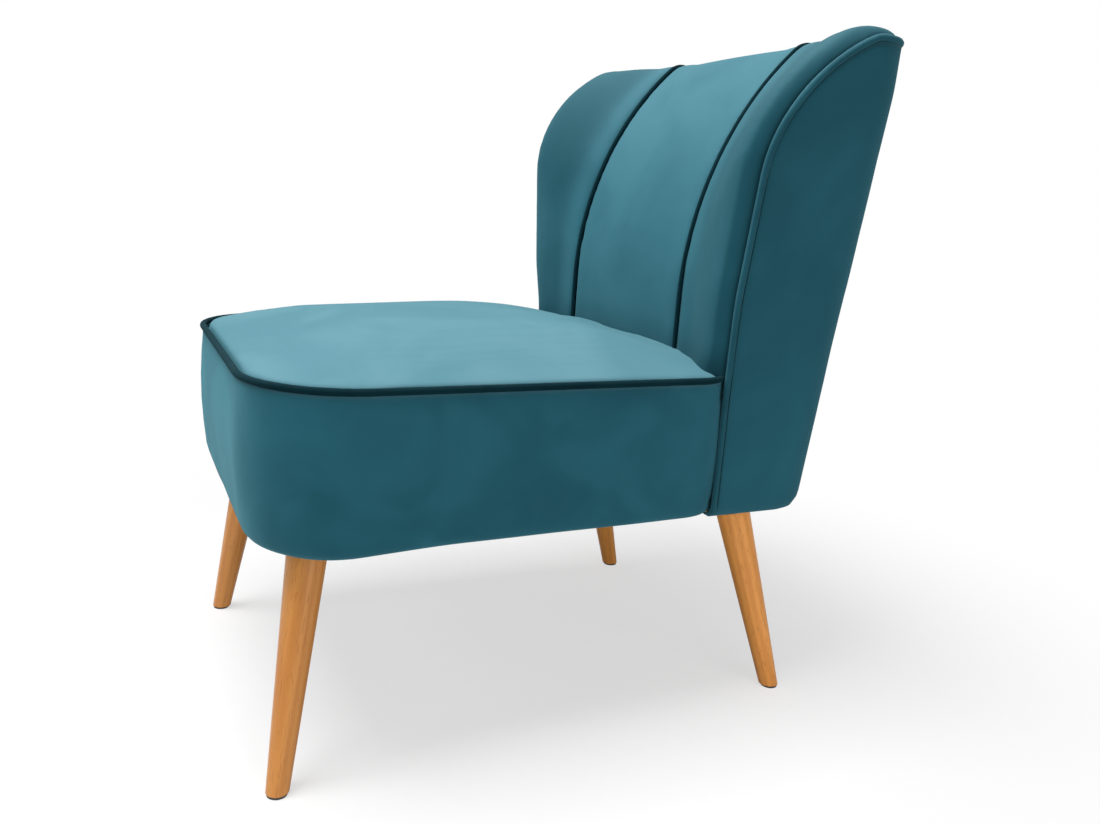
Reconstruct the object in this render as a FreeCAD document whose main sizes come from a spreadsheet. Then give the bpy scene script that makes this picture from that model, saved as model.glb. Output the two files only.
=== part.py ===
import FreeCAD, Part
import math
import os
import Sketcher

from FreeCAD import Placement, Rotation, Vector

# Crapaud armchair: a low upholstered chair with a fan-shaped, winged back on turned splayed legs.
# Millimetres. +Z is up, the sitter looks along -Y and the sitter's left hand is at +X.

doc = FreeCAD.newDocument("crapaud_armchair")

SIZES = [
    ("overall_depth", 685, "seat front to the middle of the outside back"),
    ("seat_front_width", 494, "between the side pipings at the front corners"),
    ("seat_rear_width", 476, "between the side pipings where the back begins"),
    ("seat_corner_radius", 103, "front corners, on the piping"),
    ("seat_edge_height", 400, "middle of the seat piping above the floor"),
    ("base_height", 240.5, "underside of the upholstered base above the floor"),
    ("seat_crown", 46, "rise of the seat above its piping"),
    ("crown_reach", 200, "distance over which the seat rises from its edge"),
    ("crown_sink", 27.6, "fall of the seat top where it meets the back"),
    ("sink_reach", 182, "length over which the seat top falls"),
    ("border_bulge", 4.6, "how far the border swells past the piping"),
    ("border_tuck", 16, "how far the bottom edge of the border turns in"),
    ("border_padding", 16, "from the front piping in to the front rail"),
    ("back_depth", 182.4, "wing piping to the middle of the outside back"),
    ("back_bow", 21, "bow of the outside back"),
    ("back_width", 466, "outside width of the back at seat level"),
    ("back_top_width", 570, "outside width of the back at its top piping"),
    ("back_height", 760, "top piping of the back above the floor"),
    ("flare_start", 410, "height where the sides begin to fan out"),
    ("wing_radius", 150, "round top corner of each wing"),
    ("shoulder_turn", 70, "degrees of the wing corner before it eases into the rear corner"),
    ("knee_radius", 400, "soft bend of the side edge where it begins to fan out"),
    ("wing_roll", 19, "how far the padded wing rolls past its piping"),
    ("wing_crest", 16, "wing crest to the outside of the back"),
    ("rear_corner_radius", 50, "upright rear corners"),
    ("rear_rake", 21, "outside back at the underside ahead of its upright part"),
    ("seam_spacing", 264, "between the two upright seams of the inside back"),
    ("panel_crown", 6, "swell of the middle panel between its seams"),
    ("lumbar_setback", 5, "inside back seam ahead of the wing piping"),
    ("recline_start", 470, "height where the inside back begins to lean"),
    ("recline_depth", 125.9, "top of a seam behind its upright foot"),
    ("pad_bottom", 375, "lower end of the back padding"),
    ("cover_thickness", 2, "velvet with its backing"),
    ("fit_clearance", 0.2, "room between pieces that lie together"),
    ("piping_diameter", 6.4, "covered cord"),
    ("seam_cord_diameter", 4, "covered cord in the inside back seams"),
    ("rail_thickness", 22, "seat rails"),
    ("rail_height", 88, "seat rails"),
    ("rail_lift", 4, "seat rails above the underside"),
    ("base_width", 436, "outside of the side rails"),
    ("front_block_radius", 84, "round front corner blocks"),
    ("rear_block_radius", 40, "round rear corner blocks"),
    ("rear_padding", 33, "outside back corner in to the rear rail"),
    ("web_rail_depth", 174.5, "front face of the webbing rail ahead of the outside back"),
    ("tenon_length", 12, "stub tenons of the rails"),
    ("tenon_thickness", 8, "stub tenons of the rails"),
    ("tenon_height", 56, "stub tenons of the rails"),
    ("leg_block_height", 45, "rear leg blocks"),
    ("leg_block_length", 58, "rear leg blocks"),
    ("leg_block_width", 60, "rear leg blocks"),
    ("front_foot_side", 221, "front foot from the middle plane"),
    ("front_foot_inset", 25, "front foot behind the front of the seat"),
    ("front_seat_side", 174, "front leg from the middle plane at the underside"),
    ("front_seat_inset", 63, "front leg behind the front of the seat at the underside"),
    ("rear_foot_side", 206, "rear foot from the middle plane"),
    ("rear_foot_inset", 47.4, "rear foot ahead of the outside back"),
    ("rear_seat_side", 180, "rear leg from the middle plane at the underside"),
    ("rear_seat_inset", 120.4, "rear leg ahead of the outside back at the underside"),
    ("leg_top_diameter", 40, "turned leg"),
    ("leg_foot_diameter", 22.4, "turned leg"),
    ("leg_stub", 12, "turned waste below the floor line, sawn off"),
    ("leg_chamfer", 1.2, "broken edge of the leg top"),
    ("leg_drop", 10, "leg top below the plate, on the leg's own line"),
    ("glide_diameter", 20, "foot glides"),
    ("glide_thickness", 3, "foot glides"),
    ("plate_width", 40, "leg plates"),
    ("plate_thickness", 2.5, "leg plates"),
    ("boss_diameter", 24, "slanted boss of a leg plate"),
    ("bolt_diameter", 8, "leg bolts"),
    ("bolt_rise", 16, "leg bolt inside the block"),
    ("bolt_grip", 34, "leg bolt inside the leg"),
    ("web_width", 60, "elastic webbing"),
    ("web_thickness", 2, "elastic webbing"),
    ("web_overlap", 16, "webbing stapled on a rail"),
    ("long_web_pitch", 82, "between the seat webs that run front to back"),
    ("cross_web_pitch", 104, "between the seat webs that run side to side"),
    ("back_web_pitch", 104, "between the back webs"),
    ("liner_thickness", 2.5, "felt between webbing and foam"),
    ("dust_cover_thickness", 0.8, "black cloth under the base"),
    ("dust_hole_diameter", 78, "dust cover round each leg plate"),
    ("ply_thickness", 18, "side frames of the back"),
    ("ply_setback", 10, "side frame behind the wing piping"),
    ("top_padding", 12.4, "padding ahead of the top rail at a seam"),
    ("top_rail_thickness", 18, "top rail"),
    ("top_rail_drop", 11, "top rail below the top piping"),
    ("lower_padding", 53.4, "padding ahead of the lower back rail at a seam"),
    ("lower_rail_height", 50, "lower back rail"),
    ("lower_rail_lift", 10, "lower back rail above the seat rails"),
    ("board_thickness", 3, "hardboard of the outside back"),
    ("frame_screw_diameter", 7, "long screws that hold the back on the base"),
    ("frame_screw_head", 13, "long screws that hold the back on the base"),
    ("frame_screw_grip", 36, "long screw inside the back's side frame"),
    ("frame_screw_spacing", 36, "between the two long screws of a side"),
]

sheet = doc.addObject("Spreadsheet::Sheet", "Sizes")
for row, (name, value, meaning) in enumerate(SIZES, 1):
    sheet.set("A%d" % row, name)
    sheet.set("B%d" % row, str(value))
    sheet.set("C%d" % row, meaning)
    sheet.setAlias("B%d" % row, name)
doc.recompute()


def size(name):
    return float(sheet.get(name))


def cell(name):
    return "Sizes." + name


HANDS = (("left", 1), ("right", -1))
made = []


def keep(label, item):
    item.Label = label
    made.append(item)
    return item


def join(kind, name, **links):
    item = doc.addObject(kind, name)
    for prop, value in links.items():
        setattr(item, prop, value)
    return item


def box(name, x0, x1, y0, y1, z0, z1):
    item = doc.addObject("Part::Box", name)
    item.setExpression("Length", "(%s)-(%s)" % (x1, x0))
    item.setExpression("Width", "(%s)-(%s)" % (y1, y0))
    item.setExpression("Height", "(%s)-(%s)" % (z1, z0))
    for axis, text in zip("xyz", (x0, y0, z0)):
        item.setExpression("Placement.Base." + axis, text)
    return item


def drum(name, diameter, height, x, y, z):
    item = doc.addObject("Part::Cylinder", name)
    item.setExpression("Radius", "(%s)/2" % diameter)
    item.setExpression("Height", height)
    for axis, text in zip("xyz", (x, y, z)):
        item.setExpression("Placement.Base." + axis, text)
    return item


def on_side(hand, inner, outer):
    if hand > 0:
        return inner, outer
    return "-(%s)" % outer, "-(%s)" % inner


def solid_feature(label, shape):
    item = doc.addObject("Part::Feature", label)
    item.Shape = shape
    return keep(label, item)


# Places that several pieces share, as expressions on the sheet.
FIT = cell("fit_clearance")
REAR = "(Sizes.overall_depth / 2 - Sizes.piping_diameter / 2 + Sizes.fit_clearance)"
SEAT_FRONT = "(Sizes.border_bulge - Sizes.overall_depth / 2)"
RAIL_BOTTOM = "(Sizes.base_height + Sizes.rail_lift)"
RAIL_TOP = "(Sizes.base_height + Sizes.rail_lift + Sizes.rail_height)"
RAIL_OUT = "(Sizes.base_width / 2)"
RAIL_IN = "(Sizes.base_width / 2 - Sizes.rail_thickness)"
FRONT_FACE = "(%s + Sizes.border_padding)" % SEAT_FRONT
REAR_FACE = "(%s - Sizes.back_bow - Sizes.rear_padding)" % REAR
FRONT_BLOCK_X = "(%s - Sizes.front_block_radius)" % RAIL_OUT
FRONT_BLOCK_Y = "(%s + Sizes.front_block_radius)" % FRONT_FACE
REAR_BLOCK_X = "(%s - Sizes.rear_block_radius)" % RAIL_OUT
REAR_BLOCK_Y = "(%s - Sizes.rear_block_radius)" % REAR_FACE
TENON_LOW = "(%s + (Sizes.rail_height - Sizes.tenon_height) / 2)" % RAIL_BOTTOM
TENON_HIGH = "(%s + Sizes.tenon_height)" % TENON_LOW
TENON_STEP = "((Sizes.rail_thickness - Sizes.tenon_thickness) / 2)"
PLATE_BOTTOM = "(%s - Sizes.plate_thickness)" % RAIL_BOTTOM
SEAM_FRONT = "(%s - Sizes.back_depth - Sizes.lumbar_setback)" % REAR
TOP_RAIL_FRONT = "(%s + Sizes.recline_depth + Sizes.top_padding)" % SEAM_FRONT
LOWER_RAIL_FRONT = "(%s + Sizes.lower_padding)" % SEAM_FRONT
WEB_RAIL_FRONT = "(%s - Sizes.web_rail_depth)" % REAR
PLY_REAR = "(%s - Sizes.back_bow - Sizes.rear_corner_radius - %s)" % (REAR, FIT)
PLY_FRONT = "(%s - Sizes.back_depth + Sizes.ply_setback)" % REAR
SCREW_X = "%d * (" + RAIL_OUT + " - Sizes.rail_thickness / 3)"
SCREW_Y = "(" + PLY_FRONT + " + " + PLY_REAR + ") / 2 + %d * Sizes.frame_screw_spacing / 2"
SCREW_HEAD = "(Sizes.frame_screw_diameter / 2)"

# The same places as numbers, for the sewn and moulded pieces.
fit = size("fit_clearance")
cover = size("cover_thickness")
piping = size("piping_diameter") / 2
rear = size("overall_depth") / 2 - piping + fit
seat_front = size("border_bulge") - size("overall_depth") / 2
wing_front = rear - size("back_depth")
seam_front = wing_front - size("lumbar_setback")
rail_bottom = size("base_height") + size("rail_lift")
rail_top = rail_bottom + size("rail_height")


# Seat rails: beech rails on edge with stub tenons, glued into round corner blocks.

def cheek(face, away):
    """Limits of a tenon or mortise across a rail whose outer face is given."""
    first = "%s + %s * %s" % (face, away, TENON_STEP)
    second = "%s + %s * (%s + Sizes.tenon_thickness)" % (face, away, TENON_STEP)
    return (first, second) if away > 0 else (second, first)


def grown(low, high):
    return "%s - %s" % (low, FIT), "%s + %s" % (high, FIT)


def cross_rail(label, half, y0, y1):
    tenon_y = cheek(y0, 1)
    beam = box(label + "_beam", "-" + half, half, y0, y1, RAIL_BOTTOM, RAIL_TOP)
    reach = "%s + Sizes.tenon_length" % half
    tongue = box(label + "_tongue", "-(%s)" % reach, reach, *tenon_y, TENON_LOW, TENON_HIGH)
    return keep(label, join("Part::Fuse", label, Base=beam, Tool=tongue))


def cross_mortise(name, hand, half, y0):
    x0, x1 = on_side(hand, half, "%s + Sizes.tenon_length + %s" % (half, FIT))
    return box(name, x0, x1, *grown(*cheek(y0, 1)), *grown(TENON_LOW, TENON_HIGH))


FRONT_RAIL_Y = (FRONT_FACE, "%s + Sizes.rail_thickness" % FRONT_FACE)
REAR_RAIL_Y = ("(%s - Sizes.rail_thickness)" % REAR_FACE, REAR_FACE)
WEB_RAIL_Y = (WEB_RAIL_FRONT, "%s + Sizes.rail_thickness" % WEB_RAIL_FRONT)
cross_rail("front_rail", FRONT_BLOCK_X, *FRONT_RAIL_Y)
cross_rail("rear_rail", REAR_BLOCK_X, *REAR_RAIL_Y)
cross_rail("webbing_rail", RAIL_IN, *WEB_RAIL_Y)

for hand_name, hand in HANDS:
    label = hand_name + "_side_rail"
    rail_x = on_side(hand, RAIL_IN, RAIL_OUT)
    tenon_x = on_side(hand, *cheek(RAIL_OUT, -1))
    beam = box(label + "_beam", *rail_x, FRONT_BLOCK_Y, REAR_BLOCK_Y, RAIL_BOTTOM, RAIL_TOP)
    tongue_y = (
        "%s - Sizes.tenon_length" % FRONT_BLOCK_Y,
        "%s + Sizes.tenon_length" % REAR_BLOCK_Y,
    )
    tongue = box(label + "_tongue", *tenon_x, *tongue_y, TENON_LOW, TENON_HIGH)
    tenoned = join("Part::Fuse", label + "_tenoned", Base=beam, Tool=tongue)
    mortise = cross_mortise(label + "_mortise", hand, RAIL_IN, WEB_RAIL_Y[0])
    bores = []
    for place, end in ((-1, "front"), (1, "rear")):
        x = SCREW_X % hand
        y = SCREW_Y % place
        bores.append(drum("%s_bore_%s" % (label, end), "Sizes.frame_screw_diameter + 2 * " + FIT,
                          cell("rail_height"), x, y, RAIL_BOTTOM))
        bores.append(drum("%s_sink_%s" % (label, end), "Sizes.frame_screw_head + 2 * " + FIT,
                          "%s + %s" % (SCREW_HEAD, FIT), x, y, RAIL_BOTTOM))
    holes = join("Part::Compound", label + "_holes", Links=[mortise] + bores)
    keep(label, join("Part::Cut", label, Base=tenoned, Tool=holes))


# Corner blocks: quarter-round beech, mortised for the rails; the front pair also carries the legs.

def quarter(name, hand, radius, x, y, front, height):
    item = drum(name, "2 * " + radius, height, "%d * %s" % (hand, x), y, RAIL_BOTTOM)
    item.Angle = 90
    turn = {(1, True): -90, (-1, True): 180, (1, False): 0, (-1, False): 90}[(hand, front)]
    item.Placement.Rotation = Rotation(Vector(0, 0, 1), turn)
    return item


def side_mortise(name, hand, y, ahead):
    tenon_x = grown(*on_side(hand, *cheek(RAIL_OUT, -1)))
    far = "%s %s (Sizes.tenon_length + %s)" % (y, "-" if ahead else "+", FIT)
    limits = (far, y) if ahead else (y, far)
    return box(name, *tenon_x, *limits, *grown(TENON_LOW, TENON_HIGH))


def bolt_hole(name, foot, head, length):
    """A bore along a leg's own line, from below the plate up into the block."""
    item = doc.addObject("Part::Cylinder", name)
    item.setExpression("Radius", "Sizes.bolt_diameter / 2 + " + FIT)
    item.Height = length
    line = (head - foot).normalize()
    item.Placement = Placement(head - line * (length / 2), Rotation(Vector(0, 0, 1), line))
    return item


LEGS = {}
for hand_name, hand in HANDS:
    for end, sign, face, face_y in (("front", -1, SEAT_FRONT, seat_front), ("rear", 1, REAR, rear)):
        foot = Vector(hand * size(end + "_foot_side"), face_y - sign * size(end + "_foot_inset"), 0)
        head = Vector(hand * size(end + "_seat_side"), face_y - sign * size(end + "_seat_inset"),
                      rail_bottom)
        spot, centre = [
            ("%d * Sizes.%s_%s_side" % (hand, end, level),
             "(%s - %d * Sizes.%s_%s_inset)" % (face, sign, end, level))
            for level in ("foot", "seat")
        ]
        LEGS["%s_%s" % (end, hand_name)] = (hand, sign, foot, head, centre, spot)

for corner, (hand, sign, foot, head, centre, spot) in LEGS.items():
    front = sign < 0
    label = corner + "_corner_block"
    radius, x, y = {
        True: ("Sizes.front_block_radius", FRONT_BLOCK_X, FRONT_BLOCK_Y),
        False: ("Sizes.rear_block_radius", REAR_BLOCK_X, REAR_BLOCK_Y),
    }[front]
    blank = quarter(label + "_blank", hand, radius, x, y, front, cell("rail_height"))
    rail_y = FRONT_RAIL_Y[0] if front else REAR_RAIL_Y[0]
    cuts = [
        cross_mortise(label + "_cross_mortise", hand, x, rail_y),
        side_mortise(label + "_side_mortise", hand, y, front),
    ]
    bore = bolt_hole(corner + "_bolt_bore", foot, head, 2 * size("bolt_rise") + 2 * fit)
    if front:
        cuts.append(bore)
    else:
        leg_label = corner + "_leg_block"
        leg_x = on_side(hand, "%s - Sizes.leg_block_width" % RAIL_IN, RAIL_IN)
        leg_y = (WEB_RAIL_Y[1], "%s + Sizes.leg_block_length" % WEB_RAIL_Y[1])
        high = "%s + Sizes.leg_block_height" % RAIL_BOTTOM
        lump = box(leg_label + "_blank", *leg_x, *leg_y, RAIL_BOTTOM, high)
        keep(leg_label, join("Part::Cut", leg_label, Base=lump, Tool=bore))
    holes = join("Part::Compound", label + "_holes", Links=cuts)
    keep(label, join("Part::Cut", label, Base=blank, Tool=holes))


# Legs: turned tapered beech, splayed outwards, sawn level at the floor and bored for a bolt.

def origin_plane(body, role):
    return [item for item in body.Origin.OriginFeatures if item.Role == role][0]


def outline(body, name, corners, role="XZ_Plane"):
    """A closed sketch on one of the body's planes whose corners are bound to the sheet."""
    sketch = body.newObject("Sketcher::SketchObject", name)
    sketch.AttachmentSupport = (origin_plane(body, role), [""])
    sketch.MapMode = "FlatFace"
    count = len(corners)
    ring = [2 * math.pi * number / count for number in range(count)]
    reach = size("base_height")
    points = [Vector(reach + reach * math.cos(turn), reach + reach * math.sin(turn), 0) for turn in ring]
    for number in range(count):
        sketch.addGeometry(Part.LineSegment(points[number], points[(number + 1) % count]))
    for number in range(count):
        sketch.addConstraint(Sketcher.Constraint("Coincident", number, 2, (number + 1) % count, 1))
    for number, texts in enumerate(corners):
        for kind, axis, text in zip(("DistanceX", "DistanceY"), (-2, -1), texts):
            if text == "0":
                sketch.addConstraint(Sketcher.Constraint("PointOnObject", number, 1, axis))
            else:
                made_at = sketch.addConstraint(Sketcher.Constraint(kind, -1, 1, number, 1, 20.0))
                sketch.setExpression("Constraints[%d]" % made_at, text)
    return sketch


def turning(name, corners):
    body = doc.addObject("PartDesign::Body", name)
    sketch = outline(body, name + "_profile", corners)
    turn = body.newObject("PartDesign::Revolution", name + "_turn")
    turn.Profile = sketch
    turn.ReferenceAxis = (sketch, ["V_Axis"])
    turn.Angle = 360
    sketch.Visibility = False
    return body


floor = box("sawn_off", "-Sizes.overall_depth", cell("overall_depth"), "-Sizes.overall_depth",
            cell("overall_depth"), "-Sizes.base_height / 4", cell("glide_thickness"))
bolts = []
for corner, (hand, sign, foot, head, centre, spot) in LEGS.items():
    line = (head - foot).normalize()
    upright = Rotation(Vector(0, 0, 1), line)
    plate_meet = foot + line * ((rail_bottom - size("plate_thickness")) / line.z)
    leg_length = (plate_meet - foot).Length - size("leg_drop")
    top = "%.6f" % (leg_length + size("leg_stub"))
    top_edge = "%s - Sizes.leg_chamfer" % top
    bore = "Sizes.bolt_diameter / 2 + " + FIT
    well = "%s - Sizes.bolt_grip - %s" % (top, FIT)
    body = turning(corner + "_turning", [
        ("0", "0"),
        ("Sizes.leg_foot_diameter / 2", "0"),
        ("Sizes.leg_foot_diameter / 2", cell("leg_stub")),
        ("Sizes.leg_top_diameter / 2", top_edge),
        ("Sizes.leg_top_diameter / 2 - Sizes.leg_chamfer", top),
        (bore, top),
        (bore, well),
        ("0", well),
    ])
    body.Placement = Placement(foot - line * size("leg_stub"), upright)
    leg = join("Part::Cut", corner + "_leg", Base=body, Tool=floor)
    keep(corner + "_leg", leg)

    # Glide: a dark nylon disc pinned under the foot.
    keep(corner + "_glide", drum(corner + "_glide", cell("glide_diameter"),
                                 cell("glide_thickness"), spot[0], spot[1], "0"))

    # Leg plate: pressed steel with a slanted boss that sets the splay, screwed to the block.
    plate_x = ("%s - Sizes.plate_width / 2" % centre[0], "%s + Sizes.plate_width / 2" % centre[0])
    plate_y = ("%s - Sizes.plate_width / 2" % centre[1], "%s + Sizes.plate_width / 2" % centre[1])
    flange = box(corner + "_flange", *plate_x, *plate_y, PLATE_BOTTOM, RAIL_BOTTOM)
    boss = doc.addObject("Part::Cylinder", corner + "_boss")
    boss.setExpression("Radius", "Sizes.boss_diameter / 2")
    boss.Height = 2 * size("leg_drop")
    boss.Placement = Placement(foot + line * leg_length, upright)
    pressed = join("Part::Fuse", corner + "_pressed", Base=flange, Tool=boss)
    above = box(corner + "_above", *plate_x, *plate_y, RAIL_BOTTOM, "%s + Sizes.rail_height" % RAIL_BOTTOM)
    trimmed = join("Part::Cut", corner + "_trimmed", Base=pressed, Tool=above)
    bore = bolt_hole(corner + "_plate_bore", foot, head, 2 * size("leg_top_diameter"))
    keep(corner + "_leg_plate", join("Part::Cut", corner + "_leg_plate", Base=trimmed, Tool=bore))

    # Hanger bolt along the leg's line, through the boss and up into the block.
    bolt = doc.addObject("Part::Cylinder", corner + "_bolt")
    bolt.setExpression("Radius", "Sizes.bolt_diameter / 2")
    bolt.Height = size("bolt_grip") + (head - foot).Length - leg_length + size("bolt_rise")
    bolt.Placement = Placement(foot + line * (leg_length - size("bolt_grip")), upright)
    bolts.append(bolt)

keep("leg_bolts", join("Part::Compound", "leg_bolts", Links=bolts))


# Seat webbing: elastic straps stapled on the rails, one layer each way, under a felt liner.

def straps(label, count, pitch, middle, along_y, limits, z0):
    items = []
    for number in range(count):
        step = "%s + %s * (%s)" % (middle, number - (count - 1) / 2, cell(pitch))
        across = ("%s - Sizes.web_width / 2" % step, "%s + Sizes.web_width / 2" % step)
        x, y = (across, limits) if along_y else (limits, across)
        name = "%s_%d" % (label, number + 1)
        items.append(box(name, *x, *y, z0, "%s + Sizes.web_thickness" % z0))
    keep(label, join("Part::Compound", label, Links=items))


LONG_LIMITS = (
    "%s - Sizes.web_overlap" % FRONT_RAIL_Y[1],
    "%s + Sizes.web_overlap" % WEB_RAIL_Y[0],
)
WEB_MIDDLE = "(%s + %s) / 2" % (FRONT_RAIL_Y[1], WEB_RAIL_Y[0])
CROSS_REACH = "%s + Sizes.web_overlap" % RAIL_IN
UPPER_WEB = "%s + Sizes.web_thickness" % RAIL_TOP
straps("seat_long_webbing", 4, "long_web_pitch", "0", True, LONG_LIMITS, RAIL_TOP)
straps("seat_cross_webbing", 3, "cross_web_pitch", WEB_MIDDLE, False,
       ("-(%s)" % CROSS_REACH, CROSS_REACH), UPPER_WEB)


# Seat upholstery: one plan, offset inwards or outwards, gives every layer of the seat.

corner = size("seat_corner_radius")
front_half = size("seat_front_width") / 2
rear_half = size("seat_rear_width") / 2
corner_x = front_half - corner
corner_y = seat_front + corner
seat_rear = wing_front - size("wing_roll") - size("cover_thickness")
edge = size("seat_edge_height")
base = size("base_height")


side_point = Vector(rear_half, wing_front, 0)
corner_hub = Vector(corner_x, corner_y, 0)
to_side = side_point - corner_hub
side_turn = math.atan2(to_side.y, to_side.x) - math.acos(corner / to_side.Length)
side_normal = Vector(math.cos(side_turn), math.sin(side_turn), 0)


def seat_path(offset, end_y, z):
    """Edges round the seat from its left rear end to its right one, offset outwards."""
    radius = corner + offset
    halfway = (side_turn - math.pi / 2) / 2
    touch = corner_hub + side_normal * radius
    end_x = touch.x - (end_y - touch.y) * side_normal.y / side_normal.x
    points = [
        Vector(end_x, end_y, z),
        Vector(touch.x, touch.y, z),
        Vector(corner_x + radius * math.cos(halfway), corner_y + radius * math.sin(halfway), z),
        Vector(corner_x, corner_y - radius, z),
    ]
    far = [Vector(-point.x, point.y, z) for point in points]
    return [
        Part.LineSegment(points[0], points[1]).toShape(),
        Part.Arc(points[1], points[2], points[3]).toShape(),
        Part.LineSegment(points[3], far[3]).toShape(),
        Part.Arc(far[3], far[2], far[1]).toShape(),
        Part.LineSegment(far[1], far[0]).toShape(),
    ]


def first_point(edges):
    return edges[0].Vertexes[0].Point


def last_point(edges):
    return edges[-1].Vertexes[-1].Point


def bridge(start, end):
    return Part.LineSegment(start, end).toShape()


def strip(outer, inner):
    """Closed section of a cloth that runs along two edge chains."""
    loop = outer + [bridge(last_point(outer), last_point(inner))]
    loop += inner[::-1] + [bridge(first_point(inner), first_point(outer))]
    return Part.Wire(loop)


def slab(edges, z0, z1):
    loop = edges + [bridge(last_point(edges), first_point(edges))]
    face = Part.Face(Part.Wire(loop))
    face.translate(Vector(0, 0, z0 - first_point(edges).z))
    return face.extrude(Vector(0, 0, z1 - z0))


def swell(z):
    """Outward offset of the border at a height: a full belly and a turned-in lower edge."""
    share = (z - base) / (edge - base)
    out = size("border_bulge") * math.sin(math.pi * share)
    turn = size("border_tuck")
    below = max(0.0, turn - (z - base))
    return out - turn + math.sqrt(turn * turn - below * below)


BORDER_STEPS = (0.0, 0.02, 0.06, 0.12, 0.28, 0.46, 0.64, 0.82, 1.0)
border_top = edge - piping - fit
border_end = wing_front - piping - fit
heights = [base + share * (border_top - base) for share in BORDER_STEPS]
sections = []
for z in heights:
    outer = seat_path(swell(z), border_end, z)
    sections.append(strip(outer, seat_path(swell(z) - cover, border_end, z)))
solid_feature("seat_border_cover", Part.makeLoft(sections, True, True))

# Border padding: foam wrapped round the rails and the rim of the seat.
rim = size("border_padding") - fit
sections = []
for z in heights[3:]:
    outer = seat_path(swell(z) - cover - fit, seat_rear, z)
    sections.append(strip(outer, seat_path(-rim, seat_rear, z)))
solid_feature("seat_border_padding", Part.makeLoft(sections, True, True))

# Liner, foam and top cover.
liner_low = rail_top + 2 * size("web_thickness") + fit
liner_high = liner_low + size("liner_thickness")
inside = seat_path(-size("border_padding") - fit, seat_rear, 0)
solid_feature("seat_liner", slab(inside, liner_low, liner_high))


def crown(x, y):
    """Height of the seat top: it rises from the piping and sinks a little towards the back."""
    from_hub = Vector(abs(x), y, 0) - corner_hub
    if from_hub.x > 0 and math.atan2(from_hub.y, from_hub.x) < side_turn:
        inward = corner - from_hub.Length
    else:
        inward = min(corner - from_hub.dot(side_normal), y - seat_front)
    share = min(1.0, inward / size("crown_reach"))
    rise = size("seat_crown") * share * (2 - share)
    if inward < 0:
        rise = 2 * size("seat_crown") * inward / size("crown_reach")
    sink = max(0.0, 1 + (y - seat_rear) / size("sink_reach"))
    return edge + rise - size("crown_sink") * sink * sink * max(0.0, share)


CROWN_GRID = 19
reach_x = front_half + 2 * size("border_bulge")
reach_y = (seat_front - 2 * size("border_bulge"), seat_rear + 2 * size("border_bulge"))
grid = []
for column in range(CROWN_GRID):
    x = reach_x * (2 * column / (CROWN_GRID - 1) - 1)
    line = []
    for place in range(CROWN_GRID):
        y = reach_y[0] + (reach_y[1] - reach_y[0]) * place / (CROWN_GRID - 1)
        line.append(Vector(x, y, crown(x, y)))
    grid.append(line)
dome = Part.BSplineSurface()
dome.interpolate(grid)
top_face = dome.toShape()
top_sheet = top_face.extrude(Vector(0, 0, -cover))
under_cover = slab(seat_path(-piping - fit, seat_rear, 0), border_top + fit,
                   edge + 2 * size("seat_crown"))
solid_feature("seat_top_cover", top_sheet.common(under_cover))
foam_top = top_face.copy()
foam_top.translate(Vector(0, 0, -cover - fit))
foam_block = foam_top.extrude(Vector(0, 0, liner_high - edge - 2 * size("seat_crown")))
foam_room = slab(inside, liner_high + fit, edge + 2 * size("seat_crown"))
solid_feature("seat_foam", foam_block.common(foam_room))

# Piping: a covered cord sewn into the seam between seat top and border.


def tube(edges, diameter):
    start = edges[0]
    direction = start.tangentAt(start.FirstParameter)
    ring = Part.Wire(Part.makeCircle(diameter / 2, first_point(edges), direction))
    sweep = Part.BRepOffsetAPI.MakePipeShell(Part.Wire(edges))
    sweep.setFrenetMode(False)
    sweep.setTransitionMode(1)
    sweep.add(ring)
    sweep.build()
    sweep.makeSolid()
    return sweep.shape()


solid_feature("seat_piping", tube(seat_path(0, border_end, edge), size("piping_diameter")))


# Back frame: plywood sides that fan out, round rear posts, a bowed top rail and a lower rail.

flare = (size("back_top_width") - size("back_width")) / 2 / (size("back_height") - size("flare_start"))
FLARE = ("((Sizes.back_top_width - Sizes.back_width) / 2"
         " / (Sizes.back_height - Sizes.flare_start))")
TILT = "atan(%s)" % FLARE
PLY_OUT = "(Sizes.back_width / 2 - Sizes.cover_thickness - %s)" % FIT
TOP_RAIL_TOP = "(Sizes.back_height - Sizes.top_rail_drop)"
PLY_IN = "(%s - Sizes.ply_thickness / cos(%s) - %s)" % (PLY_OUT, TILT, FIT)
BOW = ("(((Sizes.back_width / 2 - Sizes.rear_corner_radius)^2"
       " + (Sizes.back_bow + Sizes.rear_corner_radius)^2 - Sizes.rear_corner_radius^2)"
       " / (2 * Sizes.back_bow))")


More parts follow.
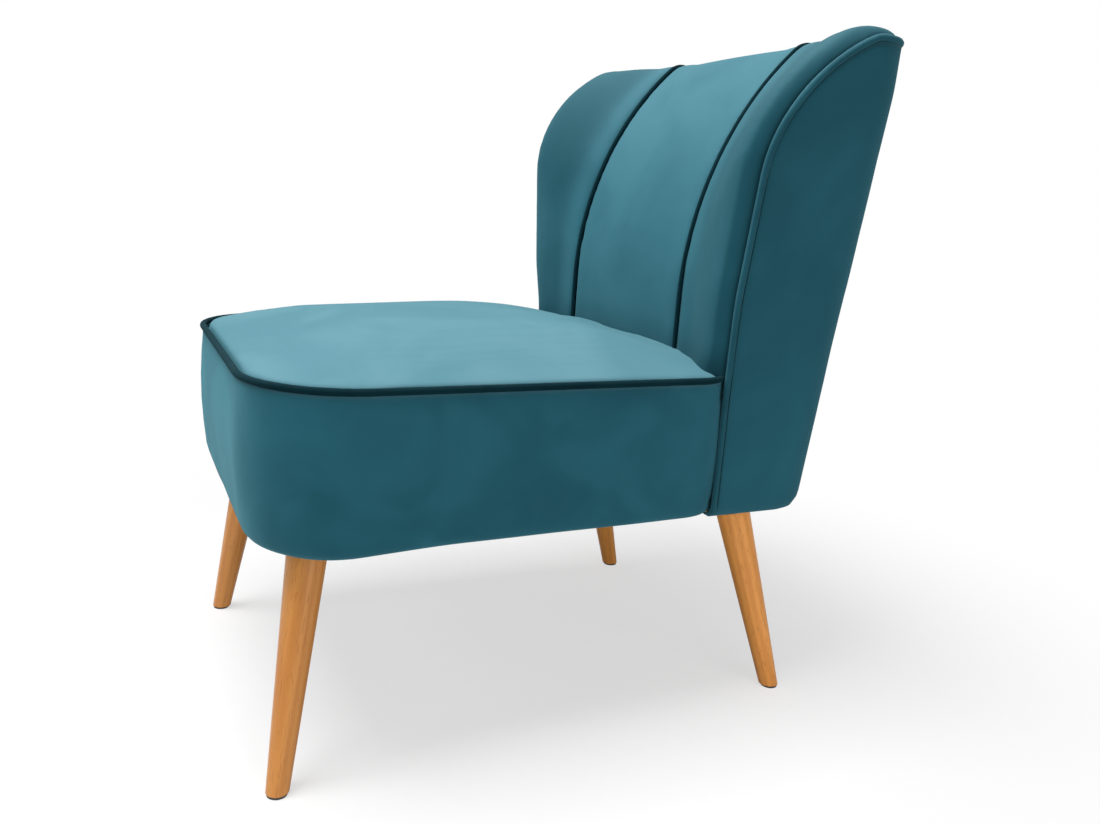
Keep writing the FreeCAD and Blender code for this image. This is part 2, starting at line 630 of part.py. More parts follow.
def wing_outline(body, name):
    """Side view of a side frame: straight edges, raked at the lower rear, and a round shoulder."""
    sketch = body.newObject("Sketcher::SketchObject", name)
    sketch.AttachmentSupport = (origin_plane(body, "YZ_Plane"), [""])
    sketch.MapMode = "FlatFace"
    front_y = wing_front + size("ply_setback")
    rear_y = rear - size("back_bow") - size("rear_corner_radius") - fit
    shoulder_z = size("back_height") - size("wing_radius")
    bend = size("wing_radius") - size("ply_setback")
    stop_turn = math.acos(1 - (rear_y - front_y) / bend)
    hub = Vector(front_y + bend, shoulder_z, 0)

    def on_shoulder(turn):
        return hub + Vector(-math.cos(turn), math.sin(turn), 0) * bend

    raked_y = rear_y - size("rear_rake")
    low_front = Vector(front_y, rail_bottom, 0)
    low_rear = Vector(raked_y, rail_bottom, 0)
    hip = Vector(rear_y, size("flare_start"), 0)
    sketch.addGeometry(Part.LineSegment(low_front, low_rear))
    sketch.addGeometry(Part.LineSegment(low_rear, hip))
    sketch.addGeometry(Part.LineSegment(hip, on_shoulder(stop_turn)))
    sketch.addGeometry(Part.Arc(on_shoulder(stop_turn), on_shoulder(stop_turn / 2), on_shoulder(0.0)))
    sketch.addGeometry(Part.LineSegment(on_shoulder(0.0), low_front))
    bottom, rake_edge, back_edge, arc, front_edge = range(5)
    starts_left = sketch.Geometry[arc].StartPoint.isEqual(on_shoulder(0.0), 1e-3)
    front_end, rear_end = (1, 2) if starts_left else (2, 1)
    for first, first_end, second, second_end in (
        (bottom, 2, rake_edge, 1),
        (rake_edge, 2, back_edge, 1),
        (back_edge, 2, arc, rear_end),
        (front_edge, 2, bottom, 1),
    ):
        sketch.addConstraint(Sketcher.Constraint("Coincident", first, first_end, second, second_end))
    sketch.addConstraint(Sketcher.Constraint("Tangent", arc, front_end, front_edge, 1))
    sketch.addConstraint(Sketcher.Constraint("Horizontal", bottom))
    sketch.addConstraint(Sketcher.Constraint("Vertical", back_edge))
    sketch.addConstraint(Sketcher.Constraint("Vertical", front_edge))
    for kind, item, end, value, text in (
        ("DistanceX", bottom, 1, front_y, PLY_FRONT),
        ("DistanceX", bottom, 2, raked_y, PLY_REAR + " - Sizes.rear_rake"),
        ("DistanceX", back_edge, 1, rear_y, PLY_REAR),
        ("DistanceY", back_edge, 1, size("flare_start"), cell("flare_start")),
        ("DistanceY", bottom, 1, rail_bottom, RAIL_BOTTOM),
        ("DistanceY", front_edge, 1, shoulder_z, "Sizes.back_height - Sizes.wing_radius"),
    ):
        place = sketch.addConstraint(Sketcher.Constraint(kind, -1, 1, item, end, value))
        sketch.setExpression("Constraints[%d]" % place, text)
    place = sketch.addConstraint(Sketcher.Constraint("Radius", arc, bend))
    sketch.setExpression("Constraints[%d]" % place, "Sizes.wing_radius - Sizes.ply_setback")
    return sketch


tilt = math.degrees(math.atan(flare))
frame_screws = []
for hand_name, hand in HANDS:
    label = "back_%s_side" % hand_name
    body = doc.addObject("PartDesign::Body", label + "_ply")
    sketch = wing_outline(body, label + "_profile")
    pad = body.newObject("PartDesign::Pad", label + "_sheet")
    pad.Profile = sketch
    pad.setExpression("Length", cell("ply_thickness"))
    pad.Reversed = hand > 0
    sketch.Visibility = False
    out = size("back_width") / 2 - cover - fit
    lean = Rotation(Vector(0, 1, 0), hand * tilt)
    body.Placement = Placement(Vector(hand * out, 0, 0), lean, Vector(0, 0, size("flare_start")))
    bores = []
    for place, end in ((-1, "front"), (1, "rear")):
        name = "%s_screw_%s" % (hand_name, end)
        x = SCREW_X % hand
        y = SCREW_Y % place
        bores.append(drum(name + "_pilot", "Sizes.frame_screw_diameter + 2 * " + FIT,
                          "Sizes.frame_screw_grip + " + FIT, x, y, RAIL_TOP))
        shank = drum(name + "_shank", cell("frame_screw_diameter"),
                     "Sizes.rail_height + Sizes.frame_screw_grip - " + SCREW_HEAD,
                     x, y, "%s + %s" % (RAIL_BOTTOM, SCREW_HEAD))
        head = drum(name + "_head", cell("frame_screw_head"), SCREW_HEAD, x, y, RAIL_BOTTOM)
        frame_screws.append(join("Part::Fuse", name, Base=shank, Tool=head))
    under = box(label + "_under", "-" + REAR, REAR, "-" + REAR, REAR, "0", RAIL_TOP)
    waste = join("Part::Compound", label + "_waste", Links=[under] + bores)
    keep(label, join("Part::Cut", label, Base=body, Tool=waste))

    post_label = "back_%s_post" % hand_name
    post = doc.addObject("Part::Cylinder", post_label + "_round")
    post.setExpression("Radius", "Sizes.rear_corner_radius - Sizes.cover_thickness"
                       " - Sizes.board_thickness")
    post.setExpression("Height", cell("back_height"))
    post.Angle = 90
    stand = Vector(hand * (size("back_width") / 2 - size("rear_corner_radius")),
                   rear - size("back_bow") - size("rear_corner_radius"), 0)
    turned = lean.multiply(Rotation(Vector(0, 0, 1), 0 if hand > 0 else 90))
    post.Placement = Placement(stand, lean, Vector(0, 0, size("flare_start")))
    post.Placement.Rotation = turned
    band = box(post_label + "_band", "-" + REAR, REAR, "0", REAR, cell("flare_start"), TOP_RAIL_TOP)
    keep(post_label, join("Part::Common", post_label, Base=post, Tool=band))

keep("frame_screws", join("Part::Compound", "frame_screws", Links=frame_screws))


def fan_block(name, half, y0, y1, z0, z1):
    """A board between the side frames: its ends follow their flare."""
    item = doc.addObject("Part::Wedge", name)
    low = "%s + %s * (%s - Sizes.flare_start)" % (half, FLARE, z0)
    high = "%s + %s * (%s - Sizes.flare_start)" % (half, FLARE, z1)
    limits = {
        "Xmin": "-(%s)" % low, "Xmax": low, "X2min": "-(%s)" % high, "X2max": high,
        "Ymin": z0, "Ymax": z1,
        "Zmin": "-(%s)" % y1, "Z2min": "-(%s)" % y1, "Zmax": "-(%s)" % y0, "Z2max": "-(%s)" % y0,
    }
    for prop, text in limits.items():
        item.setExpression(prop, text)
    item.Placement.Rotation = Rotation(Vector(1, 0, 0), 90)
    return item


def bow_drum(name, radius):
    return drum(name, "2 * (%s)" % radius, cell("back_height"), "0", "%s - %s" % (REAR, BOW), "0")


BOARD_OUT = "%s - Sizes.cover_thickness - %s" % (BOW, FIT)
BOARD_IN = "%s - Sizes.board_thickness" % BOARD_OUT
TOP_RAIL_LOW = "(%s - Sizes.top_rail_thickness)" % TOP_RAIL_TOP
LOWER_RAIL_LOW = "(%s + Sizes.lower_rail_lift)" % RAIL_TOP
LOWER_RAIL_TOP = "(%s + Sizes.lower_rail_height)" % LOWER_RAIL_LOW
plank = fan_block("top_rail_plank", "(Sizes.back_width / 2 - Sizes.rear_corner_radius - %s)" % FIT,
                  TOP_RAIL_FRONT, REAR, TOP_RAIL_LOW, TOP_RAIL_TOP)
keep("back_top_rail", join("Part::Common", "back_top_rail", Base=plank,
                           Tool=bow_drum("top_rail_bow", "%s - %s" % (BOARD_IN, FIT))))
keep("back_lower_rail", fan_block("back_lower_rail", PLY_IN, LOWER_RAIL_FRONT,
                                  "%s + Sizes.rail_thickness" % LOWER_RAIL_FRONT,
                                  LOWER_RAIL_LOW, LOWER_RAIL_TOP))

# Outside back board: hardboard bent round the top rail and the rear posts.
sheet_tube = join("Part::Cut", "back_board_bend", Base=bow_drum("back_board_out", BOARD_OUT),
                  Tool=bow_drum("back_board_in", BOARD_IN))
board_shape = fan_block("back_board_cut", "(Sizes.back_width / 2 - Sizes.rear_corner_radius)",
                        "0", REAR, cell("flare_start"), TOP_RAIL_TOP)
keep("back_board", join("Part::Common", "back_board", Base=sheet_tube, Tool=board_shape))

# Back webbing: elastic straps from the lower rail up to the top rail.
WEB_RISE = "(%s - %s)" % (TOP_RAIL_TOP, LOWER_RAIL_TOP)
WEB_RUN = "(%s - %s)" % (TOP_RAIL_FRONT, LOWER_RAIL_FRONT)
WEB_TILT = "atan(%s / %s)" % (WEB_RUN, WEB_RISE)
items = []
for number in range(4):
    name = "back_webbing_%d" % (number + 1)
    middle = "%s * Sizes.back_web_pitch" % (number - 1.5)
    web = doc.addObject("Part::Box", name)
    web.setExpression("Length", cell("web_width"))
    web.setExpression("Width", cell("web_thickness"))
    web.setExpression("Height", "%s / cos(%s) + Sizes.web_overlap" % (WEB_RISE, WEB_TILT))
    web.setExpression("Placement.Base.x", "%s - Sizes.web_width / 2" % middle)
    web.setExpression("Placement.Base.y", "%s - Sizes.web_overlap * sin(%s)"
                      " - Sizes.web_thickness / cos(%s) - %s"
                      % (LOWER_RAIL_FRONT, WEB_TILT, WEB_TILT, FIT))
    web.setExpression("Placement.Base.z", "%s - Sizes.web_overlap" % LOWER_RAIL_TOP)
    web.Placement.Rotation = Rotation(Vector(1, 0, 0), -10)
    web.setExpression("Placement.Rotation.Angle", "-" + WEB_TILT)
    items.append(web)
keep("back_webbing", join("Part::Compound", "back_webbing", Links=items))


# Inside back: three padded panels drawn over upright ribs, each an upright line with two tangent arcs.

seam_x = size("seam_spacing") / 2
back_half = size("back_width") / 2
crest_x = back_half - size("wing_crest")
edge_x = back_half - piping - fit - cover
top_rail_top = size("back_height") - size("top_rail_drop")
lower_rail_top = rail_top + size("lower_rail_lift") + size("lower_rail_height")
lower_rail_front = seam_front + size("lower_padding")
web_run = size("recline_depth") + size("top_padding") - size("lower_padding")
web_slope = web_run / (top_rail_top - lower_rail_top)
recline_rise = size("back_height") - size("recline_start")
recline_radius = (recline_rise ** 2 + size("recline_depth") ** 2) / (2 * size("recline_depth"))


def outside_rear(x, z):
    """Depth of the outside back at a point across its width."""
    round_corner = size("rear_corner_radius")
    half = back_half + flare * (z - size("flare_start")) - round_corner
    middle = rear - size("back_bow") - round_corner
    bow = (half ** 2 + (size("back_bow") + round_corner) ** 2 - round_corner ** 2) / 2 / size("back_bow")
    if abs(x) > half:
        return middle + math.sqrt(max(0.0, round_corner ** 2 - (abs(x) - half) ** 2))
    return rear - bow + math.sqrt(bow ** 2 - x ** 2)


def blend(a, b, share):
    return a + (b - a) * share


def rib_numbers(across):
    """Front, start height, radius and turn of the rib at a distance across the back."""
    wing_start = size("back_height") - size("wing_radius")
    crest_front = wing_front - size("wing_roll")
    crest_radius = size("wing_radius") + size("wing_roll")
    if across <= seam_x:
        forward = size("panel_crown") * (1 - (across / seam_x) ** 2)
        front, start, radius = seam_front - forward, size("recline_start"), recline_radius
    elif across >= edge_x:
        inset = piping + fit
        front, start, radius = wing_front - inset, wing_start, size("wing_radius") + inset
    else:
        share = min(1.0, (across - seam_x) / (crest_x - seam_x))
        front = blend(seam_front, crest_front, share * share * (3 - 2 * share))
        start = blend(size("recline_start"), wing_start, share)
        radius = blend(recline_radius, crest_radius, share)
    return front, start, radius, math.asin((size("back_height") - start) / radius)


def spread(across, z):
    """Sideways place of a rib at a height: upright at the seams, fanned out at the side."""
    if across <= seam_x:
        return across
    return across + flare * (z - size("flare_start")) * (across - seam_x) / (back_half - seam_x)


def rib_edges(across, inset):
    """The drawn line of one rib from its foot to the top piping, set back by the inset."""
    front, start, radius, turn = rib_numbers(across)
    centre = Vector(across, front + radius, start)
    bend = radius - inset

    def on_bend(angle):
        return centre + Vector(0, -bend * math.cos(angle), bend * math.sin(angle))

    foot = Vector(across, front + inset, size("pad_bottom"))
    top = on_bend(turn)
    ahead = Vector(0, math.sin(turn), math.cos(turn))
    end_y = outside_rear(spread(across, size("back_height")), size("back_height")) - 2 * piping - fit
    end = Vector(across, max(end_y, top.y + 4 * cover), size("back_height") - inset)
    chord = end - top
    over = Vector(0, ahead.z, -ahead.y)
    roll = chord.Length ** 2 / (2 * chord.dot(over))
    hub = top + over * roll
    middle = hub + ((top - hub) + (end - hub)).normalize() * roll
    return [
        Part.LineSegment(foot, on_bend(0)).toShape(),
        Part.Arc(on_bend(0), on_bend(turn / 2), top).toShape(),
        Part.Arc(top, middle, end).toShape(),
    ]


def fan(wire, across):
    """Lean a rib sideways with the flare of the back."""
    if across <= seam_x:
        return wire
    edges = []
    for item in wire.OrderedEdges:
        bent = isinstance(item.Curve, Part.Circle)
        points = item.discretize(9 if bent else 2)
        points = [Vector(spread(across, point.z), point.y, point.z) for point in points]
        if bent:
            curve = Part.BSplineCurve()
            curve.interpolate(points)
            edges.append(curve.toShape())
        else:
            edges.append(bridge(*points))
    return Part.Wire(edges)


def pad_section(across):
    edges = rib_edges(across, cover + fit)
    end = last_point(edges)
    shelf = top_rail_top + fit
    web = -size("web_thickness") / math.cos(math.atan(web_slope)) - 2 * fit
    behind = lower_rail_front + web
    tuck = Vector(across, behind + web_slope * (shelf - lower_rail_top), shelf)
    low = Vector(across, behind + web_slope * (size("pad_bottom") - lower_rail_top),
                 size("pad_bottom"))
    drop = Vector(across, end.y, shelf)
    loop = edges + [bridge(end, drop), bridge(drop, tuck), bridge(tuck, low)]
    loop.append(bridge(low, first_point(edges)))
    return fan(Part.Wire(loop), across)


def cloth_section(across):
    return fan(strip(rib_edges(across, 0), rib_edges(across, cover)), across)


def mirrored(shape, hand):
    if hand > 0:
        return shape
    return shape.mirror(Vector(0, 0, 0), Vector(1, 0, 0))


def at_place(section, place):
    """A section drawn on the left half, moved to its place on either side of the middle."""
    section.translate(Vector(place - abs(place), 0, 0))
    return section


cord = size("seam_cord_diameter") / 2
doc.recompute()
half = seam_x - cord - fit
places = (-half, -half / 2, 0.0, half / 2, half)
for label, section in (("back_middle_pad", pad_section), ("back_middle_cover", cloth_section)):
    walls = [at_place(section(abs(place)), place) for place in places]
    solid_feature(label, Part.makeLoft(walls, True, False))

WING_RIBS = (0.0, 0.35, 0.7, 1.0)
places = [blend(seam_x + cord + fit, crest_x, share) for share in WING_RIBS] + [edge_x]
for hand_name, hand in HANDS:
    for label, section in (("back_%s_pad", pad_section), ("back_%s_cover", cloth_section)):
        panel = mirrored(Part.makeLoft([section(place) for place in places], True, False), hand)
        if section is pad_section:
            panel = panel.cut([doc.getObject("back_%s_%s" % (hand_name, item)).Shape
                               for item in ("side", "post")])
            panel = max(panel.Solids, key=lambda lump: lump.Volume)
        solid_feature(label % hand_name, panel)
    seam = [mirrored(item, hand) for item in rib_edges(seam_x, 0)]
    solid_feature("%s_seam_piping" % hand_name, tube(seam, size("seam_cord_diameter")))


# Outside cover: one cloth round both sides and the rear. It flares with the frame above the seat and
# runs forward to the rear rail below it.

def shell_path(inset, z, front):
    below = max(0.0, size("flare_start") - z) / (size("flare_start") - base)
    back = rear - size("rear_rake") * below
    round_corner = size("rear_corner_radius") - inset
    fan_out = flare * max(0.0, z - size("flare_start"))
    half = back_half + fan_out - size("rear_corner_radius")
    middle = back - size("back_bow") - size("rear_corner_radius")
    depth = size("back_bow") + size("rear_corner_radius")
    bow = (half ** 2 + depth ** 2 - size("rear_corner_radius") ** 2) / 2 / size("back_bow") - inset
    hub = Vector(half, middle, z)
    bow_hub = Vector(0, back - inset - bow, z)
    aim = (hub - bow_hub).normalize()
    touch = hub + aim * round_corner
    turn = math.atan2(aim.y, aim.x) / 2
    points = [
        Vector(half + round_corner, front, z),
        Vector(half + round_corner, middle, z),
        hub + Vector(math.cos(turn), math.sin(turn), 0) * round_corner,
        touch,
    ]
    far = [Vector(-point.x, point.y, z) for point in points]
    return [
        bridge(points[0], points[1]),
        Part.Arc(points[1], points[2], points[3]).toShape(),
        Part.Arc(points[3], Vector(0, back - inset, z), far[3]).toShape(),
        Part.Arc(far[3], far[2], far[1]).toShape(),
        bridge(far[1], far[0]),
    ]


turn_in = size("border_tuck")
shell_front = wing_front - 2 * piping
walls = []
for z, tuck in (
    (base, turn_in),
    (base + 0.3 * turn_in, 0.3 * turn_in),
    (base + turn_in, 0.0),
    (size("flare_start"), 0.0),
    (size("back_height"), 0.0),
):
    walls.append(strip(shell_path(tuck, z, shell_front), shell_path(tuck + cover, z, shell_front)))
wrap = Part.makeLoft(walls, True, True)
# The side edge, where the cord is sewn in: up the wing, round its shoulder, level at the rear corner.
cord_side = back_half - fit
slant = Rotation(Vector(0, 1, 0), tilt)
knee = Vector(cord_side, wing_front, size("flare_start"))


def on_side_plane(y, along):
    """A point of the slanted side plane, behind the wing front and above the knee."""
    return knee + Vector(0, y, 0) + slant.multVec(Vector(0, 0, along))


def side_arc(hub_y, hub_along, bend, start, stop):
    turns = (start, (start + stop) / 2, stop)
    points = [
        on_side_plane(hub_y - bend * math.cos(turn), hub_along + bend * math.sin(turn))
        for turn in turns
    ]
    return points, Part.Arc(*points).toShape()


knee_reach = size("knee_radius") * math.tan(math.radians(tilt) / 2)
knee_low = knee - Vector(0, 0, knee_reach)
knee_high = on_side_plane(0, knee_reach)
knee_hub = knee_low + Vector(size("knee_radius"), 0, 0)
half_tilt = math.radians(tilt) / 2
knee_mid = knee_hub + Vector(-math.cos(half_tilt), 0, math.sin(half_tilt)) * size("knee_radius")
radius = size("wing_radius")
rise = (size("back_height") - size("flare_start")) / math.cos(math.radians(tilt)) - radius
turn = math.radians(size("shoulder_turn"))
shoulder, shoulder_arc = side_arc(radius, rise, radius, 0.0, turn)
corner_start = rear - size("back_bow") - size("rear_corner_radius")
ease_radius = (corner_start - shoulder[2].y) / math.cos(turn)
ease_y = radius - (radius - ease_radius) * math.cos(turn)
ease_along = rise + (radius - ease_radius) * math.sin(turn)
ease, ease_arc = side_arc(ease_y, ease_along, ease_radius, turn, math.pi / 2)

seam_gap = piping + fit
flat_side = -2 * rear


def edge_arc(start, stop, bend, hub_y, hub_along):
    """Three points of the side edge, inside the cord, seen square from the side."""
    points = []
    for angle in (start, (start + stop) / 2, stop):
        along = hub_along + (bend - seam_gap) * math.sin(angle)
        points.append(Vector(flat_side, wing_front + hub_y - (bend - seam_gap) * math.cos(angle),
                             size("flare_start") + along * math.cos(math.radians(tilt))))
    return points


shoulder_cut = edge_arc(0.0, turn, radius, radius, rise)
ease_cut = edge_arc(turn, math.pi / 2, ease_radius, ease_y, ease_along)
low_front = Vector(flat_side, wing_front + seam_gap, 0)
top_rear = Vector(flat_side, 2 * rear, ease_cut[2].z)
low_rear = Vector(flat_side, 2 * rear, 0)
side_outline = Part.Wire([
    bridge(low_front, shoulder_cut[0]),
    Part.Arc(*shoulder_cut).toShape(),
    Part.Arc(*ease_cut).toShape(),
    bridge(ease_cut[2], top_rear),
    bridge(top_rear, low_rear),
    bridge(low_rear, low_front),
])
side_view = Part.Face(side_outline).extrude(Vector(-2 * flat_side, 0, 0))
solid_feature("back_outside_cover", wrap.common(side_view))


# Back piping: one cord from the underside up each wing, over its shoulder and along the top.

side_run = [
    bridge(Vector(cord_side, wing_front, base + turn_in), knee_low),
    Part.Arc(knee_low, knee_mid, knee_high).toShape(),
    bridge(knee_high, shoulder[0]),
    shoulder_arc,
    ease_arc,
]
far_run = [item.mirror(Vector(0, 0, 0), Vector(1, 0, 0)) for item in side_run]
path = side_run + shell_path(fit, ease[2].z, wing_front)[1:4] + far_run[::-1]
solid_feature("back_piping", tube(path, size("piping_diameter")))
groove = tube(path, size("piping_diameter") + 2 * fit)
for hand_name, hand in HANDS:
    pad = doc.getObject("back_%s_pad" % hand_name)
    pad.Shape = max(pad.Shape.cut(groove).Solids, key=lambda lump: lump.Volume)


# Dust cover: thin black cloth stapled under the rails, cut out round the leg plates.

def upright_edges(shape, end):
    """Corner edges of a flat sheet at its front (-1) or rear (1) end."""
    upright = [item for item in shape.Edges if abs(item.tangentAt(item.FirstParameter).z) > 0.9]
    return [item for item in upright if item.CenterOfMass.y * end > 0]


inset = size("rail_lift")
side = size("base_width") / 2 - inset
front_y = seat_front + size("border_padding") + inset
rear_y = rear - size("back_bow") - size("rear_padding") - inset
cloth = Part.makeBox(2 * side, rear_y - front_y, size("dust_cover_thickness"),
                     Vector(-side, front_y, rail_bottom - size("dust_cover_thickness")))
for end, radius in ((-1, "front_block_radius"), (1, "rear_block_radius")):
    cloth = cloth.makeFillet(size(radius) - inset, upright_edges(cloth, end))
for hand, sign, foot, head, centre, spot in LEGS.values():
    hole = Part.makeCylinder(size("dust_hole_diameter") / 2, size("rail_height"),
                             Vector(head.x, head.y, base - size("rail_height") / 2))
    cloth = cloth.cut(hole)
solid_feature("dust_cover", cloth)


# Build every piece, check it and write it out.

doc.recompute()
for item in doc.Objects:
    if "Invalid" in item.State or "Error" in item.State:
        raise RuntimeError("%s did not build: %s" % (item.Label, item.State))
os.makedirs("parts", exist_ok=True)
for item in made:
    shape = item.Shape
    if shape.isNull() or not shape.isValid() or not shape.Solids:
        raise RuntimeError("%s has no valid solid" % item.Label)
    shape.exportStep("parts/%s.step" % item.Label)
print("%d pieces written" % len(made))
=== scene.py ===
import math

import bmesh
import bpy
import numpy as np
from mathutils import Matrix, Vector, noise
from mathutils.bvhtree import BVHTree
from mathutils.kdtree import KDTree


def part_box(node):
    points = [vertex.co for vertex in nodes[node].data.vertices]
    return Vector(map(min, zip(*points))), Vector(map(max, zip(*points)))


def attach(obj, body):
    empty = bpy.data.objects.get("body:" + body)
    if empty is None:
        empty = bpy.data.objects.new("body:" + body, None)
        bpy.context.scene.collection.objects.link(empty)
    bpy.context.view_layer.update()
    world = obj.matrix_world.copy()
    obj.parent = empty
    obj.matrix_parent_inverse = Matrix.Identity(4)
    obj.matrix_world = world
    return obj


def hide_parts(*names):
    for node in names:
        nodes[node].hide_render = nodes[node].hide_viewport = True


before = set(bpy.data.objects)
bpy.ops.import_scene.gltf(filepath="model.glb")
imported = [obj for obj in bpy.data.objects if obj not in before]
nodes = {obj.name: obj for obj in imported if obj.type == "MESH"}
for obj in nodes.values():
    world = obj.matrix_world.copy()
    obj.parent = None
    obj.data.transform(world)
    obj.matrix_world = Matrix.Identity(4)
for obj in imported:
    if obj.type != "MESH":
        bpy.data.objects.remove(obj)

scene = bpy.context.scene
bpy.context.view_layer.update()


# Seat frame: planed beech rails with stub tenons, glued into rounded corner blocks.
# The wood stays bare, because velvet and dust cloth close it in on every side.

def add_node(tree, kind, **values):
    """A shader node whose sockets and settings are given by name."""
    made = tree.nodes.new(kind)
    for name, value in values.items():
        socket = made.inputs.get(name.replace("_", " "))
        if socket is None:
            setattr(made, name, value)
        elif isinstance(value, bpy.types.NodeSocket):
            tree.links.new(value, socket)
        else:
            socket.default_value = value
    return made


def new_group(name, inputs, outputs):
    """An empty node group with its sockets; gives the tree, its input node and its output node."""
    tree = bpy.data.node_groups.new(name, "ShaderNodeTree")
    for label, kind, value in inputs:
        socket = tree.interface.new_socket(label, in_out="INPUT", socket_type=kind)
        if value is not None:
            socket.default_value = value
    for label in outputs:
        tree.interface.new_socket(label, in_out="OUTPUT", socket_type="NodeSocketFloat")
    return tree, tree.nodes.new("NodeGroupInput"), tree.nodes.new("NodeGroupOutput")


def place_group(tree, group, **values):
    made = tree.nodes.new("ShaderNodeGroup")
    made.node_tree = group
    for name, value in values.items():
        socket = made.inputs[name.replace("_", " ")]
        if isinstance(value, bpy.types.NodeSocket):
            tree.links.new(value, socket)
        else:
            socket.default_value = value
    return made


def new_material(name):
    material = bpy.data.materials.new(name)
    material.use_nodes = True
    return material, material.node_tree, material.node_tree.nodes["Principled BSDF"]


def mixed_colour(tree, share, first, second):
    blend = tree.nodes.new("ShaderNodeMix")
    blend.data_type = "RGBA"
    tree.links.new(share, blend.inputs["Factor"])
    colours = [item for item in blend.inputs if item.type == "RGBA"]
    for socket, value in zip(colours, (first, second)):
        if isinstance(value, bpy.types.NodeSocket):
            tree.links.new(value, socket)
        else:
            socket.default_value = (*value, 1.0)
    return [item for item in blend.outputs if item.type == "RGBA"][0]


def add_bump(tree, shader, height, distance, strength):
    bump = add_node(tree, "ShaderNodeBump", Height=height, Distance=distance, Strength=strength)
    tree.links.new(bump.outputs["Normal"], shader.inputs["Normal"])
    return bump


WOOD_GRAIN, grain_in, grain_out = new_group(
    "wood_grain",
    [("Vector", "NodeSocketVector", None), ("Ring Scale", "NodeSocketFloat", 40.0)],
    ["Figure", "Flecks"],
)
along = add_node(WOOD_GRAIN, "ShaderNodeMapping", Vector=grain_in.outputs["Vector"], Scale=(1.0, 1.0, 0.07))
rings = add_node(
    WOOD_GRAIN, "ShaderNodeTexWave", wave_type="RINGS", rings_direction="Z",
    Vector=along.outputs["Vector"], Scale=grain_in.outputs["Ring Scale"],
    Distortion=5.0, Detail=3.0, Detail_Scale=1.4, Detail_Roughness=0.6,
)
streaks = add_node(WOOD_GRAIN, "ShaderNodeTexNoise", Vector=along.outputs["Vector"], Scale=260.0, Detail=4.0)
figure = add_node(WOOD_GRAIN, "ShaderNodeMath", operation="MULTIPLY_ADD")
WOOD_GRAIN.links.new(rings.outputs["Fac"], figure.inputs[0])
figure.inputs[1].default_value = 0.55
halved = add_node(WOOD_GRAIN, "ShaderNodeMath", operation="MULTIPLY")
WOOD_GRAIN.links.new(streaks.outputs["Fac"], halved.inputs[0])
halved.inputs[1].default_value = 0.45
WOOD_GRAIN.links.new(halved.outputs[0], figure.inputs[2])
dashes = add_node(WOOD_GRAIN, "ShaderNodeTexNoise", Vector=along.outputs["Vector"], Scale=900.0, Detail=1.0)
flecks = add_node(WOOD_GRAIN, "ShaderNodeMapRange", Value=dashes.outputs["Fac"], From_Min=0.6, From_Max=0.72)
WOOD_GRAIN.links.new(figure.outputs[0], grain_out.inputs["Figure"])
WOOD_GRAIN.links.new(flecks.outputs["Result"], grain_out.inputs["Flecks"])


def bare_wood(name, pale, dark, turn, ring_scale):
    """Unfinished wood with its grain along the turned Z axis."""
    material, tree, shader = new_material(name)
    spot = add_node(tree, "ShaderNodeTexCoord")
    turned = add_node(tree, "ShaderNodeMapping", Vector=spot.outputs["Object"], Rotation=turn)
    grain = place_group(tree, WOOD_GRAIN, Vector=turned.outputs["Vector"], Ring_Scale=ring_scale)
    body = mixed_colour(tree, grain.outputs["Figure"], dark, pale)
    tree.links.new(mixed_colour(tree, grain.outputs["Flecks"], body, dark), shader.inputs["Base Color"])
    shader.inputs["Roughness"].default_value = 0.72
    add_bump(tree, shader, grain.outputs["Figure"], 0.0003, 0.4)
    return material


def dress(names, material):
    """Give CAD nodes that stay in view or inside their real finish."""
    for name in names:
        for place in nodes[name].material_slots:
            place.material = material


QUARTER = math.pi / 2
rail_across = bare_wood("bare_beech_across", (0.62, 0.44, 0.27), (0.50, 0.33, 0.18), (0.0, QUARTER, 0.0), 45.0)
rail_along = bare_wood("bare_beech_along", (0.64, 0.46, 0.28), (0.52, 0.34, 0.19), (QUARTER, 0.0, 0.0), 45.0)
dress(["front_rail", "rear_rail", "webbing_rail"], rail_across)
dress(["left_side_rail", "right_side_rail"], rail_along)
dress([name for name in nodes if name.endswith("_block")], rail_across)


# Leg fixings: pressed plates with a slanted boss, hanger bolts and frame screws.
# Zinc-plated steel, dull and faintly mottled; the plates are screwed under the blocks.

zinc, tree, shader = new_material("zinc_plate")
spot = add_node(tree, "ShaderNodeTexCoord")
mottle = add_node(tree, "ShaderNodeTexNoise", Vector=spot.outputs["Object"], Scale=220.0, Detail=5.0)
tree.links.new(
    mixed_colour(tree, mottle.outputs["Fac"], (0.50, 0.50, 0.47), (0.68, 0.69, 0.68)),
    shader.inputs["Base Color"],
)
rough = add_node(tree, "ShaderNodeMapRange", Value=mottle.outputs["Fac"], To_Min=0.28, To_Max=0.5)
tree.links.new(rough.outputs["Result"], shader.inputs["Roughness"])
shader.inputs["Metallic"].default_value = 1.0
dress([name for name in nodes if name.endswith("_plate")] + ["leg_bolts", "frame_screws"], zinc)


# Legs: turned tapered beech, stained warm and lacquered satin, splayed out to their feet.
# Each screws onto its hanger bolt, and a dark nylon glide is pinned under the sawn foot.

STAIN_PALE = (0.65, 0.275, 0.058)
STAIN_DARK = (0.51, 0.190, 0.034)
STAIN_FLECK = (0.31, 0.100, 0.018)
# The front legs take the stain darkened and the rear legs take it paled: painted shade and painted light on one
# stain.
FRONT_LEG_PAINTED_SHADE = 0.88
REAR_LEG_PAINTED_LIGHT = 1.25
CORNERS = ("front_left", "front_right", "rear_left", "rear_right")


def middle_of(name):
    low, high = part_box(name)
    return (low + high) / 2


